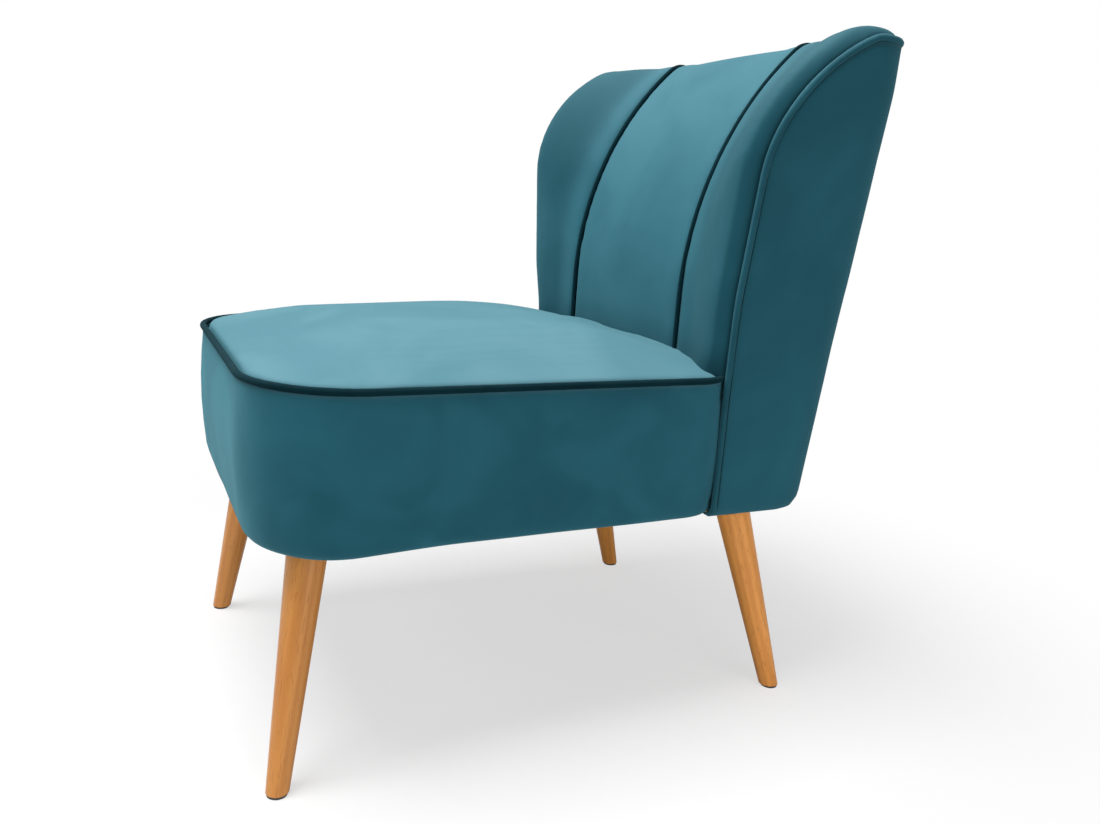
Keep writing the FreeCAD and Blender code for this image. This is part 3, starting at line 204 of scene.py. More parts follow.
def lacquered_beech(name, axis, shift, painted_light):
    """Stained beech under a satin lacquer, with its grain along the leg, its stain scaled as painted light."""
    material, tree, shader = new_material(name)
    spot = add_node(tree, "ShaderNodeTexCoord")
    turn = axis.rotation_difference(Vector((0, 0, 1))).to_euler()
    turned = add_node(tree, "ShaderNodeMapping", Vector=spot.outputs["Object"], Rotation=turn, Location=shift)
    grain = place_group(tree, WOOD_GRAIN, Vector=turned.outputs["Vector"], Ring_Scale=34.0)
    stains = [tuple(painted_light * part for part in stain) for stain in (STAIN_DARK, STAIN_PALE)]
    body = mixed_colour(tree, grain.outputs["Figure"], *stains)
    soft_flecks = add_node(tree, "ShaderNodeMath", operation="MULTIPLY")
    tree.links.new(grain.outputs["Flecks"], soft_flecks.inputs[0])
    soft_flecks.inputs[1].default_value = 0.55
    tree.links.new(mixed_colour(tree, soft_flecks.outputs[0], body, STAIN_FLECK), shader.inputs["Base Color"])
    rough = add_node(tree, "ShaderNodeMapRange", Value=grain.outputs["Figure"], To_Min=0.46, To_Max=0.36)
    tree.links.new(rough.outputs["Result"], shader.inputs["Roughness"])
    shader.inputs["Specular IOR Level"].default_value = 0.3
    shader.inputs["Coat Weight"].default_value = 0.15
    shader.inputs["Coat Roughness"].default_value = 0.25
    add_bump(tree, shader, grain.outputs["Figure"], 0.00015, 0.3)
    return material


nylon, tree, shader = new_material("glide_nylon")
spot = add_node(tree, "ShaderNodeTexCoord")
scuffs = add_node(tree, "ShaderNodeTexNoise", Vector=spot.outputs["Object"], Scale=400.0, Detail=3.0)
tree.links.new(
    mixed_colour(tree, scuffs.outputs["Fac"], (0.018, 0.017, 0.016), (0.05, 0.047, 0.043)),
    shader.inputs["Base Color"],
)
shader.inputs["Roughness"].default_value = 0.6

for number, corner in enumerate(CORNERS):
    axis = middle_of(corner + "_leg_plate") - middle_of(corner + "_glide")
    shift = (0.013 * number, 0.021 * number, 0.31 * number)
    painted_light = FRONT_LEG_PAINTED_SHADE if corner.startswith("front") else REAR_LEG_PAINTED_LIGHT
    dress([corner + "_leg"], lacquered_beech("lacquered_beech_" + corner, axis, shift, painted_light))
    dress([corner + "_glide"], nylon)


# Seat platform: elastic webbing stapled over the rails, a felt liner on it,
# and a black spun-bonded dust cloth stapled under the frame, cut out round the leg plates.

THREAD = 900.0


def woven(name, dark, pale, threads):
    """Plain-woven band: two sets of threads crossing at right angles."""
    material, tree, shader = new_material(name)
    spot = add_node(tree, "ShaderNodeTexCoord")
    warp = add_node(tree, "ShaderNodeTexWave", bands_direction="X", Vector=spot.outputs["Object"], Scale=threads)
    weft = add_node(tree, "ShaderNodeTexWave", bands_direction="Y", Vector=spot.outputs["Object"], Scale=threads)
    cross = add_node(tree, "ShaderNodeMath", operation="MULTIPLY")
    tree.links.new(warp.outputs["Fac"], cross.inputs[0])
    tree.links.new(weft.outputs["Fac"], cross.inputs[1])
    tree.links.new(mixed_colour(tree, cross.outputs[0], dark, pale), shader.inputs["Base Color"])
    shader.inputs["Roughness"].default_value = 0.85
    add_bump(tree, shader, cross.outputs[0], 0.0004, 0.5)
    return material


def felted(name, dark, pale, scale):
    """Matted fibres with no weave."""
    material, tree, shader = new_material(name)
    spot = add_node(tree, "ShaderNodeTexCoord")
    fibres = add_node(
        tree, "ShaderNodeTexNoise", Vector=spot.outputs["Object"], Scale=scale, Detail=6.0, Distortion=1.5
    )
    tree.links.new(mixed_colour(tree, fibres.outputs["Fac"], dark, pale), shader.inputs["Base Color"])
    shader.inputs["Roughness"].default_value = 0.95
    add_bump(tree, shader, fibres.outputs["Fac"], 0.0005, 0.6)
    return material


dress(["seat_long_webbing", "seat_cross_webbing", "back_webbing"],
      woven("elastic_webbing", (0.012, 0.012, 0.013), (0.09, 0.085, 0.08), THREAD))
dress(["seat_liner"], felted("liner_felt", (0.28, 0.27, 0.25), (0.46, 0.44, 0.41), 500.0))
dress(["dust_cover"], felted("dust_cloth", (0.008, 0.008, 0.009), (0.035, 0.035, 0.037), 1100.0))


# Seat cushion: foam glued on the liner and round the rails, under a domed velvet top.
# The top is sewn to the border along the cord, so the pile swells up inside that line.

# Velvet tones: FRONT for faces turned ahead; the darker set is painted shade on faces turned sideways, the paler
# set painted light on upward faces.
FRONT_SHADE = (0.024, 0.109, 0.145)
FRONT_NAP = (0.036, 0.145, 0.187)
SHADED_SIDE_DARK = (0.009, 0.068, 0.096)
SHADED_SIDE_PALE = (0.015, 0.097, 0.131)
LIT_TOP_DARK = (0.080, 0.200, 0.244)
LIT_TOP_PALE = (0.116, 0.250, 0.298)
# Tone that the painted shade mask darkens the velvet towards, in seams, by the seat and over the wings.
PAINTED_SHADE_TONE = (0.003, 0.030, 0.042)
SHEEN_TINT = (0.32, 0.78, 0.88, 1.0)

# Nap is random pile tone and Pile the tufts for the bump; the facing masks are painted light on upward faces and
# painted shade on sideways ones.
VELVET_PILE_AND_LIGHT, pile_in, pile_out = new_group(
    "velvet_pile_and_painted_light",
    [("Cloud Scale", "NodeSocketFloat", 7.0), ("Stroke Scale", "NodeSocketFloat", 45.0),
     ("Lie Share", "NodeSocketFloat", 1.0)],
    ["Nap", "Pile", "Top Light", "Side", "Painted Shade"],
)
spot = add_node(VELVET_PILE_AND_LIGHT, "ShaderNodeTexCoord")
clouds = add_node(
    VELVET_PILE_AND_LIGHT, "ShaderNodeTexNoise", Vector=spot.outputs["Object"], Scale=pile_in.outputs["Cloud Scale"],
    Detail=3.0, Roughness=0.5, Distortion=0.8,
)
patches = add_node(
    VELVET_PILE_AND_LIGHT, "ShaderNodeMapRange", interpolation_type="SMOOTHSTEP", Value=clouds.outputs["Fac"],
    From_Min=0.32, From_Max=0.68,
)
brush_and_wing_shade = add_node(VELVET_PILE_AND_LIGHT, "ShaderNodeMapping", Vector=spot.outputs["Object"], Scale=(1.0, 1.0, 0.3))
strokes = add_node(
    VELVET_PILE_AND_LIGHT, "ShaderNodeTexNoise", Vector=brush_and_wing_shade.outputs["Vector"], Scale=pile_in.outputs["Stroke Scale"],
    Detail=5.0, Roughness=0.65,
)
nap = add_node(VELVET_PILE_AND_LIGHT, "ShaderNodeMix", Factor=0.28, A=patches.outputs["Result"], B=strokes.outputs["Fac"])
tufts = add_node(VELVET_PILE_AND_LIGHT, "ShaderNodeTexNoise", Vector=spot.outputs["Object"], Scale=1800.0, Detail=2.0)
facing = add_node(VELVET_PILE_AND_LIGHT, "ShaderNodeNewGeometry")
split = add_node(VELVET_PILE_AND_LIGHT, "ShaderNodeSeparateXYZ", Vector=facing.outputs["Normal"])
top_light = add_node(
    VELVET_PILE_AND_LIGHT, "ShaderNodeMapRange", interpolation_type="SMOOTHSTEP", Value=split.outputs["Z"],
    From_Min=0.05, From_Max=1.0, To_Max=pile_in.outputs["Lie Share"],
)
across = add_node(VELVET_PILE_AND_LIGHT, "ShaderNodeMath", operation="ABSOLUTE")
VELVET_PILE_AND_LIGHT.links.new(split.outputs["X"], across.inputs[0])
side_shade = add_node(
    VELVET_PILE_AND_LIGHT, "ShaderNodeMapRange", interpolation_type="SMOOTHSTEP", Value=across.outputs[0],
    From_Min=0.08, From_Max=0.65,
)
# Each piece's painted shade mask, stored on its points.
shade_share = add_node(VELVET_PILE_AND_LIGHT, "ShaderNodeAttribute", attribute_name="painted_shade")
VELVET_PILE_AND_LIGHT.links.new(shade_share.outputs["Fac"], pile_out.inputs["Painted Shade"])
VELVET_PILE_AND_LIGHT.links.new(side_shade.outputs["Result"], pile_out.inputs["Side"])
VELVET_PILE_AND_LIGHT.links.new(top_light.outputs["Result"], pile_out.inputs["Top Light"])
VELVET_PILE_AND_LIGHT.links.new(nap.outputs["Result"], pile_out.inputs["Nap"])
VELVET_PILE_AND_LIGHT.links.new(tufts.outputs["Fac"], pile_out.inputs["Pile"])


def velvet(name, cloud_scale, top_light_share, depth=1.0, sheen=0.16, gloss=0.08):
    """Short cut-pile velvet in random nap clouds, with painted shade on faces turned sideways, painted light on
    upward faces, and darkening by the piece's painted shade mask.
    """
    material, tree, shader = new_material(name)
    pile = place_group(tree, VELVET_PILE_AND_LIGHT, Cloud_Scale=cloud_scale, Lie_Share=top_light_share)
    faces = []
    for shade, nap_tone in ((FRONT_SHADE, FRONT_NAP), (SHADED_SIDE_DARK, SHADED_SIDE_PALE), (LIT_TOP_DARK, LIT_TOP_PALE)):
        ends = [tuple(depth * part for part in tone) for tone in (shade, nap_tone)]
        faces.append(mixed_colour(tree, pile.outputs["Nap"], *ends))
    body = mixed_colour(tree, pile.outputs["Side"], faces[0], faces[1])
    body = mixed_colour(tree, pile.outputs["Top Light"], body, faces[2])
    tree.links.new(mixed_colour(tree, pile.outputs["Painted Shade"], body, PAINTED_SHADE_TONE), shader.inputs["Base Color"])
    shader.inputs["Roughness"].default_value = 0.8
    shader.inputs["Specular IOR Level"].default_value = gloss
    shader.inputs["Sheen Weight"].default_value = sheen
    shader.inputs["Sheen Roughness"].default_value = 0.5
    shader.inputs["Sheen Tint"].default_value = SHEEN_TINT
    add_bump(tree, shader, pile.outputs["Pile"], 0.0004, 0.35)
    return material


def paint_shade(piece, share):
    """Store how much painted shade darkens the velvet at each point, from 0 to 1."""
    layer = piece.data.attributes.new("painted_shade", "FLOAT", "POINT")
    layer.data.foreach_set("value", np.asarray(share, dtype=np.float32))


def points_of(mesh):
    flat = np.empty(len(mesh.vertices) * 3)
    mesh.vertices.foreach_get("co", flat)
    return flat.reshape(-1, 3)


def normals_of(mesh):
    flat = np.empty(len(mesh.vertices) * 3)
    mesh.vertices.foreach_get("normal", flat)
    return flat.reshape(-1, 3)


def move_points(mesh, points):
    mesh.vertices.foreach_set("co", np.ascontiguousarray(points, dtype=np.float32).ravel())
    mesh.update()


def freeze(piece):
    """Turn a piece's modifiers into its own mesh."""
    ready = piece.evaluated_get(bpy.context.evaluated_depsgraph_get())
    mesh = bpy.data.meshes.new_from_object(ready)
    piece.modifiers.clear()
    piece.data = mesh


def new_piece(name, mesh, material):
    piece = bpy.data.objects.new(name, mesh)
    scene.collection.objects.link(piece)
    mesh.materials.clear()
    mesh.materials.append(material)
    return piece


def smooth_step(low, high, value):
    share = np.clip((value - low) / (high - low), 0.0, 1.0)
    return share * share * (3.0 - 2.0 * share)


def centre_line(name, spacing):
    """The middle of a CAD cord as evenly spaced points, worked out from its round wall."""
    mesh = nodes[name].data
    radius = CORD_RADIUS[name]
    walls = points_of(mesh)[[corner.vertex_index for corner in mesh.loops]]
    outward = np.array([corner.vector for corner in mesh.corner_normals])
    middles = walls - radius * outward
    tree = KDTree(len(middles))
    for number, point in enumerate(middles):
        tree.insert(point, number)
    tree.balance()
    left = set(range(len(middles)))
    rings = []
    while left:
        seed = min(left)
        ring = [number for _, number, _ in tree.find_range(middles[seed], radius / 4)]
        left.difference_update(ring)
        if len(np.unique(walls[ring].round(5), axis=0)) >= CORD_SIDES // 2:
            rings.append(middles[ring].mean(axis=0))
    rings = np.array(rings)
    start = int(np.argmin(rings @ np.array(CORD_START)))
    order = [start]
    rest = set(range(len(rings))) - {start}
    while rest:
        here = rings[order[-1]]
        nearest = min(rest, key=lambda number: float(np.sum((rings[number] - here) ** 2)))
        order.append(nearest)
        rest.discard(nearest)
    run = rings[order]
    lengths = np.concatenate([[0.0], np.cumsum(np.linalg.norm(np.diff(run, axis=0), axis=1))])
    count = max(2, int(round(lengths[-1] / spacing)))
    stations = np.linspace(0.0, lengths[-1], count + 1)
    return np.column_stack([np.interp(stations, lengths, run[:, axis]) for axis in range(3)])


def nearest_on(line, points):
    """The nearest of a line's closely spaced points to each given point."""
    tree = KDTree(len(line))
    for number, point in enumerate(line):
        tree.insert(point, number)
    tree.balance()
    return np.array([tree.find(point)[0] for point in points])


def distance_to(line, points):
    return np.linalg.norm(nearest_on(line, points) - points, axis=1)


def nearness(distance, width):
    """1 at a seam, falling off smoothly within about the given width."""
    return np.exp(-((distance / width) ** 2))


CORD_RADIUS = {
    "seat_piping": 0.0032,
    "back_piping": 0.0032,
    "left_seam_piping": 0.0020,
    "right_seam_piping": 0.0020,
}
CORD_START = (-1.0, -0.2, 1.0)
CORD_SIDES = 14
CORD_STEP = 0.003
seat_cord_line = centre_line("seat_piping", CORD_STEP)
back_cord_line = centre_line("back_piping", CORD_STEP)

BLANK_VOXEL = 0.005
SWELL_FRAMES = 20
SWELL_EVENING = 24
PRESSURE = 4.0


def foam_blank(name, sources, material):
    """Foam and cover as one closed, softened form, a little smaller than the finished pad."""
    joined = bmesh.new()
    for source in sources:
        joined.from_mesh(nodes[source].data)
    bmesh.ops.remove_doubles(joined, verts=joined.verts, dist=1e-5)
    mesh = bpy.data.meshes.new(name)
    joined.to_mesh(mesh)
    joined.free()
    piece = new_piece(name, mesh, material)
    blank = piece.modifiers.new("blank", "REMESH")
    blank.mode = "VOXEL"
    blank.voxel_size = BLANK_VOXEL
    soft = piece.modifiers.new("soft", "SMOOTH")
    soft.factor = 0.5
    soft.iterations = 6
    freeze(piece)
    return piece


def evened(mesh, values, rounds):
    """Average a value of each point with its neighbours', so that no hard folds are left."""
    ends = np.empty(len(mesh.edges) * 2, dtype=np.int64)
    mesh.edges.foreach_get("vertices", ends)
    first, second = ends.reshape(-1, 2).T
    count = np.bincount(ends, minlength=len(values))[:, None]
    for _ in range(rounds):
        around = np.zeros_like(values)
        np.add.at(around, first, values[second])
        np.add.at(around, second, values[first])
        values = (values + around / count) / 2
    return values


def swell(piece, free, inset, cap):
    """Shrink the free cloth, then let air pressure fill it out against its sewn edges."""
    mesh = piece.data
    start = points_of(mesh) - normals_of(mesh) * (inset * free)[:, None]
    move_points(mesh, start)
    sewn = piece.vertex_groups.new(name="sewn")
    for number, share in enumerate(1.0 - free):
        sewn.add([number], float(share), "REPLACE")
    cloth = piece.modifiers.new("fill", "CLOTH")
    cloth.settings.quality = 5
    cloth.settings.mass = 0.3
    cloth.settings.tension_stiffness = 12.0
    cloth.settings.compression_stiffness = 12.0
    cloth.settings.bending_stiffness = 2.0
    cloth.settings.use_pressure = True
    cloth.settings.uniform_pressure_force = PRESSURE
    cloth.settings.vertex_group_mass = "sewn"
    cloth.settings.effector_weights.gravity = 0.0
    for moment in range(1, SWELL_FRAMES + 1):
        scene.frame_set(moment)
    ready = piece.evaluated_get(bpy.context.evaluated_depsgraph_get())
    moved = points_of(ready.data) - start
    piece.modifiers.clear()
    piece.vertex_groups.clear()
    scene.frame_set(1)
    moved = evened(mesh, moved, SWELL_EVENING)
    length = np.linalg.norm(moved, axis=1)
    move_points(mesh, start + moved * (np.minimum(length, cap) / np.maximum(length, 1e-9))[:, None])


def soften(piece):
    """Round the swollen pad off with one subdivision."""
    finer = piece.modifiers.new("finer", "SUBSURF")
    finer.levels = 1
    finer.render_levels = 1
    freeze(piece)
    for face in piece.data.polygons:
        face.use_smooth = True


def sew_down(piece, line, width, depth):
    """Draw the cloth in along a seam, so that the cord lies in a valley."""
    mesh = piece.data
    points = points_of(mesh)
    pull = depth * nearness(distance_to(line, points), width)
    move_points(mesh, points - normals_of(mesh) * pull[:, None])


def finish_pad(piece, replaced):
    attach(piece, "root")
    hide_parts(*replaced)


SEAT_SOURCES = ("seat_foam", "seat_top_cover", "seat_border_padding")
SEAT_INSET = 0.004
SEAT_CAP = 0.007
SEAT_VALLEY = 0.0045
CROWN_EVENING = 90
FLANK_INSET = 0.009
FRONT_FALL = 0.006
MEET_ACROSS = (0.0, 0.07, 0.13, 0.18, 0.215, 0.235)
MEET_DEPTH = (0.016, 0.018, 0.021, 0.015, 0.010, 0.015)
REAR_FALL = 0.005
CROWN_LIFT = 0.003
SEAM_SHADE = 0.006
SEAM_PAINTED_SHADE = 0.6
VALLEY_WIDTH = 0.006
SEWN_BAND = (0.008, 0.060)
seat_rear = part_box("seat_top_cover")[1].y
seat_cushion = foam_blank("seat_cushion", SEAT_SOURCES, velvet("seat_velvet", 6.0, top_light_share=1.0, sheen=0.21))
places = points_of(seat_cushion.data)
seat_edge = seat_cord_line[:, 2].mean()
from_cord = distance_to(seat_cord_line, places)
free = smooth_step(*SEWN_BAND, from_cord) * smooth_step(seat_edge - 0.004, seat_edge + 0.010, places[:, 2])
free = free * smooth_step(0.0, 0.05, seat_rear - places[:, 1])
swell(seat_cushion, free, SEAT_INSET, SEAT_CAP)
places = points_of(seat_cushion.data)
level = evened(seat_cushion.data, places[:, 2:], CROWN_EVENING)[:, 0]
places[:, 2] += (level - places[:, 2]) * free + CROWN_LIFT * free
move_points(seat_cushion.data, places)
soften(seat_cushion)
places = points_of(seat_cushion.data)
under_border = smooth_step(-0.004, -0.016, places[:, 2] - seat_edge)
places -= normals_of(seat_cushion.data) * (FLANK_INSET * under_border)[:, None]
on_top = smooth_step(0.0, 0.03, places[:, 2] - seat_edge)
places[:, 2] -= FRONT_FALL * on_top * smooth_step(-0.02, -0.20, places[:, 1])
toward_back = smooth_step(0.045, 0.0, seat_rear - places[:, 1])
places[:, 1] += toward_back * np.interp(np.abs(places[:, 0]), MEET_ACROSS, MEET_DEPTH)
rear_corners = smooth_step(0.02, 0.14, np.abs(places[:, 0]))
places[:, 2] -= REAR_FALL * smooth_step(0.10, 0.0, seat_rear - places[:, 1]) * rear_corners * on_top
move_points(seat_cushion.data, places)
sew_down(seat_cushion, seat_cord_line, VALLEY_WIDTH, SEAT_VALLEY)
seat_points = points_of(seat_cushion.data)
# Painted shade in the valley along the seat cord.
paint_shade(seat_cushion, SEAM_PAINTED_SHADE * nearness(distance_to(seat_cord_line, seat_points), SEAM_SHADE))
finish_pad(seat_cushion, SEAT_SOURCES)


# Seat border: one velvet band round the front and sides, padded so that it bellies out,
# sewn to the cord at its top, turned under the rails and stapled at its bottom edge.

BORDER_STEP = 0.006
BORDER_ROWS = 36
HEM_DEPTH = 0.012
HEM_ROWS = 3
SIDE_LIFT = 0.0015
FRONT_DROP = 0.006
FRONT_TAPER = 0.004
END_CURL = 0.011
END_REACH = 0.030
END_FLAP = np.array((0.0, 0.012, 0.0))
TOP_TUCK = 0.003
CLOTH_THICKNESS = 0.002
FRONT_BAND = (-0.14, -0.31)
RAY_START = 0.05
RAY_LENGTH = 0.09


def outward_along(line):
    """The level direction out from a line at each of its points."""
    run = np.gradient(line, axis=0)
    run[:, 2] = 0.0
    run /= np.linalg.norm(run, axis=1)[:, None]
    return np.column_stack([run[:, 1], -run[:, 0], np.zeros(len(run))])


def wall_of(name):
    bm = bmesh.new()
    bm.from_mesh(nodes[name].data)
    tree = BVHTree.FromBMesh(bm)
    bm.free()
    return tree


def cloth_from_rows(name, rows, material):
    """A sheet through rows of points, given the thickness of the cloth towards its inside."""
    count = len(rows[0])
    mesh = bpy.data.meshes.new(name)
    points = [tuple(point) for row in rows for point in row]
    faces = []
    for row in range(len(rows) - 1):
        for place in range(count - 1):
            first = row * count + place
            faces.append((first, first + 1, first + count + 1, first + count))
    mesh.from_pydata(points, [], faces)
    piece = new_piece(name, mesh, material)
    for face in mesh.polygons:
        face.use_smooth = True
    thick = piece.modifiers.new("cloth", "SOLIDIFY")
    thick.thickness = CLOTH_THICKNESS
    thick.offset = -1.0
    freeze(piece)
    return piece


def ripple(points, outward, scale, height):
    """Slow unevenness of hand-drawn cloth."""
    rise = [noise.fractal(Vector(point) * scale, 1.0, 2.0, 2) for point in points]
    return points + outward * (height * np.array(rise))[:, None]


seat_out = outward_along(seat_cord_line)
if float(seat_out[len(seat_out) // 2] @ np.array((0.0, -1.0, 0.0))) < 0.0:
    seat_out = -seat_out
border_wall = wall_of("seat_border_cover")
border_low, border_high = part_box("seat_border_cover")
stations = np.arange(0, len(seat_cord_line), int(round(BORDER_STEP / CORD_STEP)))
rows = []
for height in np.linspace(border_high.z - 0.0005, border_low.z + 0.0008, BORDER_ROWS):
    reach = []
    for station in stations:
        start = Vector((seat_cord_line[station][0], seat_cord_line[station][1], height))
        outward = Vector(seat_out[station])
        hit = border_wall.ray_cast(start + outward * RAY_START, -outward, RAY_LENGTH)[0]
        reach.append(np.nan if hit is None else (hit - start).dot(outward))
    reach = np.array(reach)
    met = np.flatnonzero(~np.isnan(reach))
    reach = np.interp(np.arange(len(reach)), met, reach[met])
    row = seat_cord_line[stations] + seat_out[stations] * reach[:, None]
    row[:, 2] = height
    rows.append(row)


def end_curl(line, outward, spacing):
    """How far the ends of a line round the seat turn in, to dive behind the back's cord."""
    to_end = np.minimum(np.arange(len(line)), np.arange(len(line))[::-1]) * spacing
    return to_end, outward * (END_CURL * (1.0 - np.minimum(to_end / END_REACH, 1.0)) ** 2)[:, None]


to_end, curl = end_curl(stations, seat_out[stations], BORDER_STEP)
rows = [row - curl for row in rows]
front_share = smooth_step(*FRONT_BAND, seat_cord_line[stations, 1])
for number, row in enumerate(rows):
    downward = (number / (BORDER_ROWS - 1)) ** 2
    row[:, 2] += downward * (SIDE_LIFT - (FRONT_DROP + SIDE_LIFT) * front_share)
    row -= seat_out[stations] * (FRONT_TAPER * downward * front_share)[:, None]
hem = seat_out[stations] * (HEM_DEPTH * smooth_step(0.0, END_REACH, to_end))[:, None]
for share in np.linspace(1.0 / HEM_ROWS, 1.0, HEM_ROWS):
    rows.append(rows[BORDER_ROWS - 1] - hem * share)
rows = [ripple(row, seat_out[stations], 9.0, 0.0008) for row in rows]
under_cord = rows[0] - seat_out[stations] * TOP_TUCK
under_cord[:, 2] += TOP_TUCK / 2
rows.insert(0, under_cord)
near_out, far_out = seat_out[stations[[0, -1]]] * END_CURL / 2
rows = [np.vstack([row[0] - near_out + END_FLAP, row, row[-1] - far_out + END_FLAP]) for row in rows]
seat_border = cloth_from_rows("seat_border", rows, velvet("border_velvet", 9.0, top_light_share=0.6))
finish_pad(seat_border, ["seat_border_cover"])


# Cords: velvet strips folded over a round filler and sewn into the seams.
# One edges the seat, one runs round the whole back, and one lies in each upright seam.

def cord_tube(name, line, radius, material):
    """A soft round cord along a line, with rounded ends and the slight unevenness of folded cloth."""
    run = np.gradient(line, axis=0)
    run /= np.linalg.norm(run, axis=1)[:, None]
    side = np.cross(run[0], (0.0, 0.0, 1.0) if abs(run[0][2]) < 0.9 else (0.0, 1.0, 0.0))
    side /= np.linalg.norm(side)
    ends = np.minimum(np.arange(len(line)), np.arange(len(line))[::-1]) * CORD_STEP
    taper = np.sqrt(np.clip(1.0 - (1.0 - np.minimum(ends / radius, 1.0)) ** 2, 0.02, 1.0))
    points = []
    for place, middle in enumerate(line):
        side = side - run[place] * float(side @ run[place])
        side /= np.linalg.norm(side)
        up = np.cross(run[place], side)
        for number in range(CORD_SIDES):
            turn = 2.0 * math.pi * number / CORD_SIDES
            arm = side * math.cos(turn) + up * math.sin(turn)
            fold = 1.0 + 0.05 * noise.noise(Vector(middle) * 180.0 + Vector(arm) * 1.5)
            points.append(middle + arm * radius * taper[place] * fold)
    faces = []
    for place in range(len(line) - 1):
        for number in range(CORD_SIDES):
            first = place * CORD_SIDES + number
            after = place * CORD_SIDES + (number + 1) % CORD_SIDES
            faces.append((first, first + CORD_SIDES, after + CORD_SIDES, after))
    faces.append(tuple(range(CORD_SIDES)))
    last = (len(line) - 1) * CORD_SIDES
    faces.append(tuple(last + number for number in reversed(range(CORD_SIDES))))
    mesh = bpy.data.meshes.new(name)
    mesh.from_pydata([tuple(point) for point in points], [], faces)
    piece = new_piece(name, mesh, material)
    check = bmesh.new()
    check.from_mesh(mesh)
    bmesh.ops.recalc_face_normals(check, faces=check.faces)
    check.to_mesh(mesh)
    check.free()
    for face in mesh.polygons:
        face.use_smooth = True
    return piece


WING_FORWARD = 0.006
TIP_PULL = 0.005
TIP_LIFT = 0.002
ROLL_FALL = 0.003
edge_heights = np.arange(0.26, 0.74, 0.01)
edge_front = [back_cord_line[np.abs(back_cord_line[:, 2] - h) < 0.006][:, 1].min() for h in edge_heights]


def drawn_wings(points):
    """Wings pushed forward by their stuffing, and the rear top corners drawn in by the cord."""
    points = np.array(points)
    across = np.abs(points[:, 0])
    behind = points[:, 1] - np.interp(points[:, 2], edge_heights, edge_front)
    height = smooth_step(0.40, 0.50, points[:, 2]) * smooth_step(0.74, 0.62, points[:, 2])
    stuffed = height * smooth_step(0.14, 0.21, across) * smooth_step(0.07, 0.0, behind)
    tip = smooth_step(0.70, 0.77, points[:, 2]) * smooth_step(0.15, 0.22, across)
    tip = tip * smooth_step(0.20, 0.28, points[:, 1])
    outer = smooth_step(0.235, 0.28, across)
    roll = smooth_step(0.68, 0.77, points[:, 2]) * smooth_step(0.11, 0.20, across)
    roll = roll * (1.0 - outer) * smooth_step(0.31, 0.26, points[:, 1])
    points[:, 2] += TIP_LIFT * tip - ROLL_FALL * roll
    points[:, 1] -= WING_FORWARD * stuffed + TIP_PULL * tip
    return points


CORD_FLUFF = {
    "seat_piping": 0.0004,
    "back_piping": 0.0004,
    "left_seam_piping": 0.0013,
    "right_seam_piping": 0.0013,
}
FOOT_TURN = 0.012
SEAM_DIVE = 0.013
SEAM_DIVE_REACH = 0.055
# The cords are the same velvet darkened through depth: painted shade, strongest on the seat and seam cords in
# their valleys.
edge_cord_velvet = velvet("edge_cord_velvet", 14.0, top_light_share=0.4, depth=0.75)
seam_cord_velvet = velvet("seam_cord_velvet", 14.0, top_light_share=0.2, depth=0.2, sheen=0.02, gloss=0.02)
seat_cord_path = seat_cord_line - end_curl(seat_cord_line, seat_out, CORD_STEP)[1]
cord_foot = []
for turn in np.linspace(QUARTER * 0.9, 0.0, 8)[:-1]:
    drop = np.array((math.cos(turn) - 1.0, 0.0, -math.sin(turn))) * FOOT_TURN
    cord_foot.append(back_cord_line[0] + drop)
mirrored = np.array((-1.0, 1.0, 1.0))
far_foot = [back_cord_line[-1] + (point - back_cord_line[0]) * mirrored for point in cord_foot]
back_cord_path = drawn_wings(np.vstack([cord_foot, back_cord_line, far_foot[::-1]]))
cord_lines = {"seat_piping": seat_cord_path, "back_piping": back_cord_path}
for name in ("left_seam_piping", "right_seam_piping"):
    line = centre_line(name, CORD_STEP)
    if line[0][2] > line[-1][2]:
        line = line[::-1]
    to_top = np.arange(len(line))[::-1] * CORD_STEP
    line[:, 2] -= SEAM_DIVE * (1.0 - np.minimum(to_top / SEAM_DIVE_REACH, 1.0)) ** 2
    cord_lines[name] = line
for name, line in cord_lines.items():
    cloth = edge_cord_velvet if name == "back_piping" else seam_cord_velvet
    cord = cord_tube(name.replace("piping", "cord"), line, CORD_RADIUS[name] + CORD_FLUFF[name], cloth)
    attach(cord, "root")
    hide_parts(name)


# Back frame: plywood side frames and round posts on the rails, with a top rail, a lower rail
# and a bent hardboard behind. All of it is bare, inside the velvet.

ply = bare_wood("birch_ply", (0.66, 0.50, 0.32), (0.54, 0.38, 0.22), (QUARTER, 0.0, 0.0), 90.0)
dress(["back_left_side", "back_right_side"], ply)
dress(["back_left_post", "back_right_post", "back_top_rail", "back_lower_rail"], rail_across)
dress(["back_board"], felted("hardboard", (0.16, 0.09, 0.045), (0.26, 0.155, 0.08), 700.0))


# Inside back: three padded velvet panels sewn together along two upright corded seams.
# The middle one reclines; the outer two come forward as wings and roll over to the edge cord.

PANEL_INSET = 0.003
PANEL_CAP = 0.006
CORD_PULL = 0.004
SEAM_PULL = 0.0025
PULL_WIDTH = 0.011
PANEL_BAND = (0.006, 0.045)
SEAT_SHADE = 0.022
SEAT_PAINTED_SHADE = 0.5
WING_PAINTED_SHADE = 0.25
WING_TOP_PAINTED_SHADE = 0.22
MOST_PAINTED_SHADE = 0.8
LOW_FLAT = 0.0045
MIDDLE_HALF = 0.13


def draw_up(piece, line, pull):
    """Draw a panel's edge towards the cord it is sewn to."""
    points = points_of(piece.data)
    toward = nearest_on(line, points) - points
    gap = np.maximum(np.linalg.norm(toward, axis=1), 1e-6)
    share = np.minimum(1.0, pull * nearness(gap, PULL_WIDTH) / gap)
    move_points(piece.data, points + toward * share[:, None])


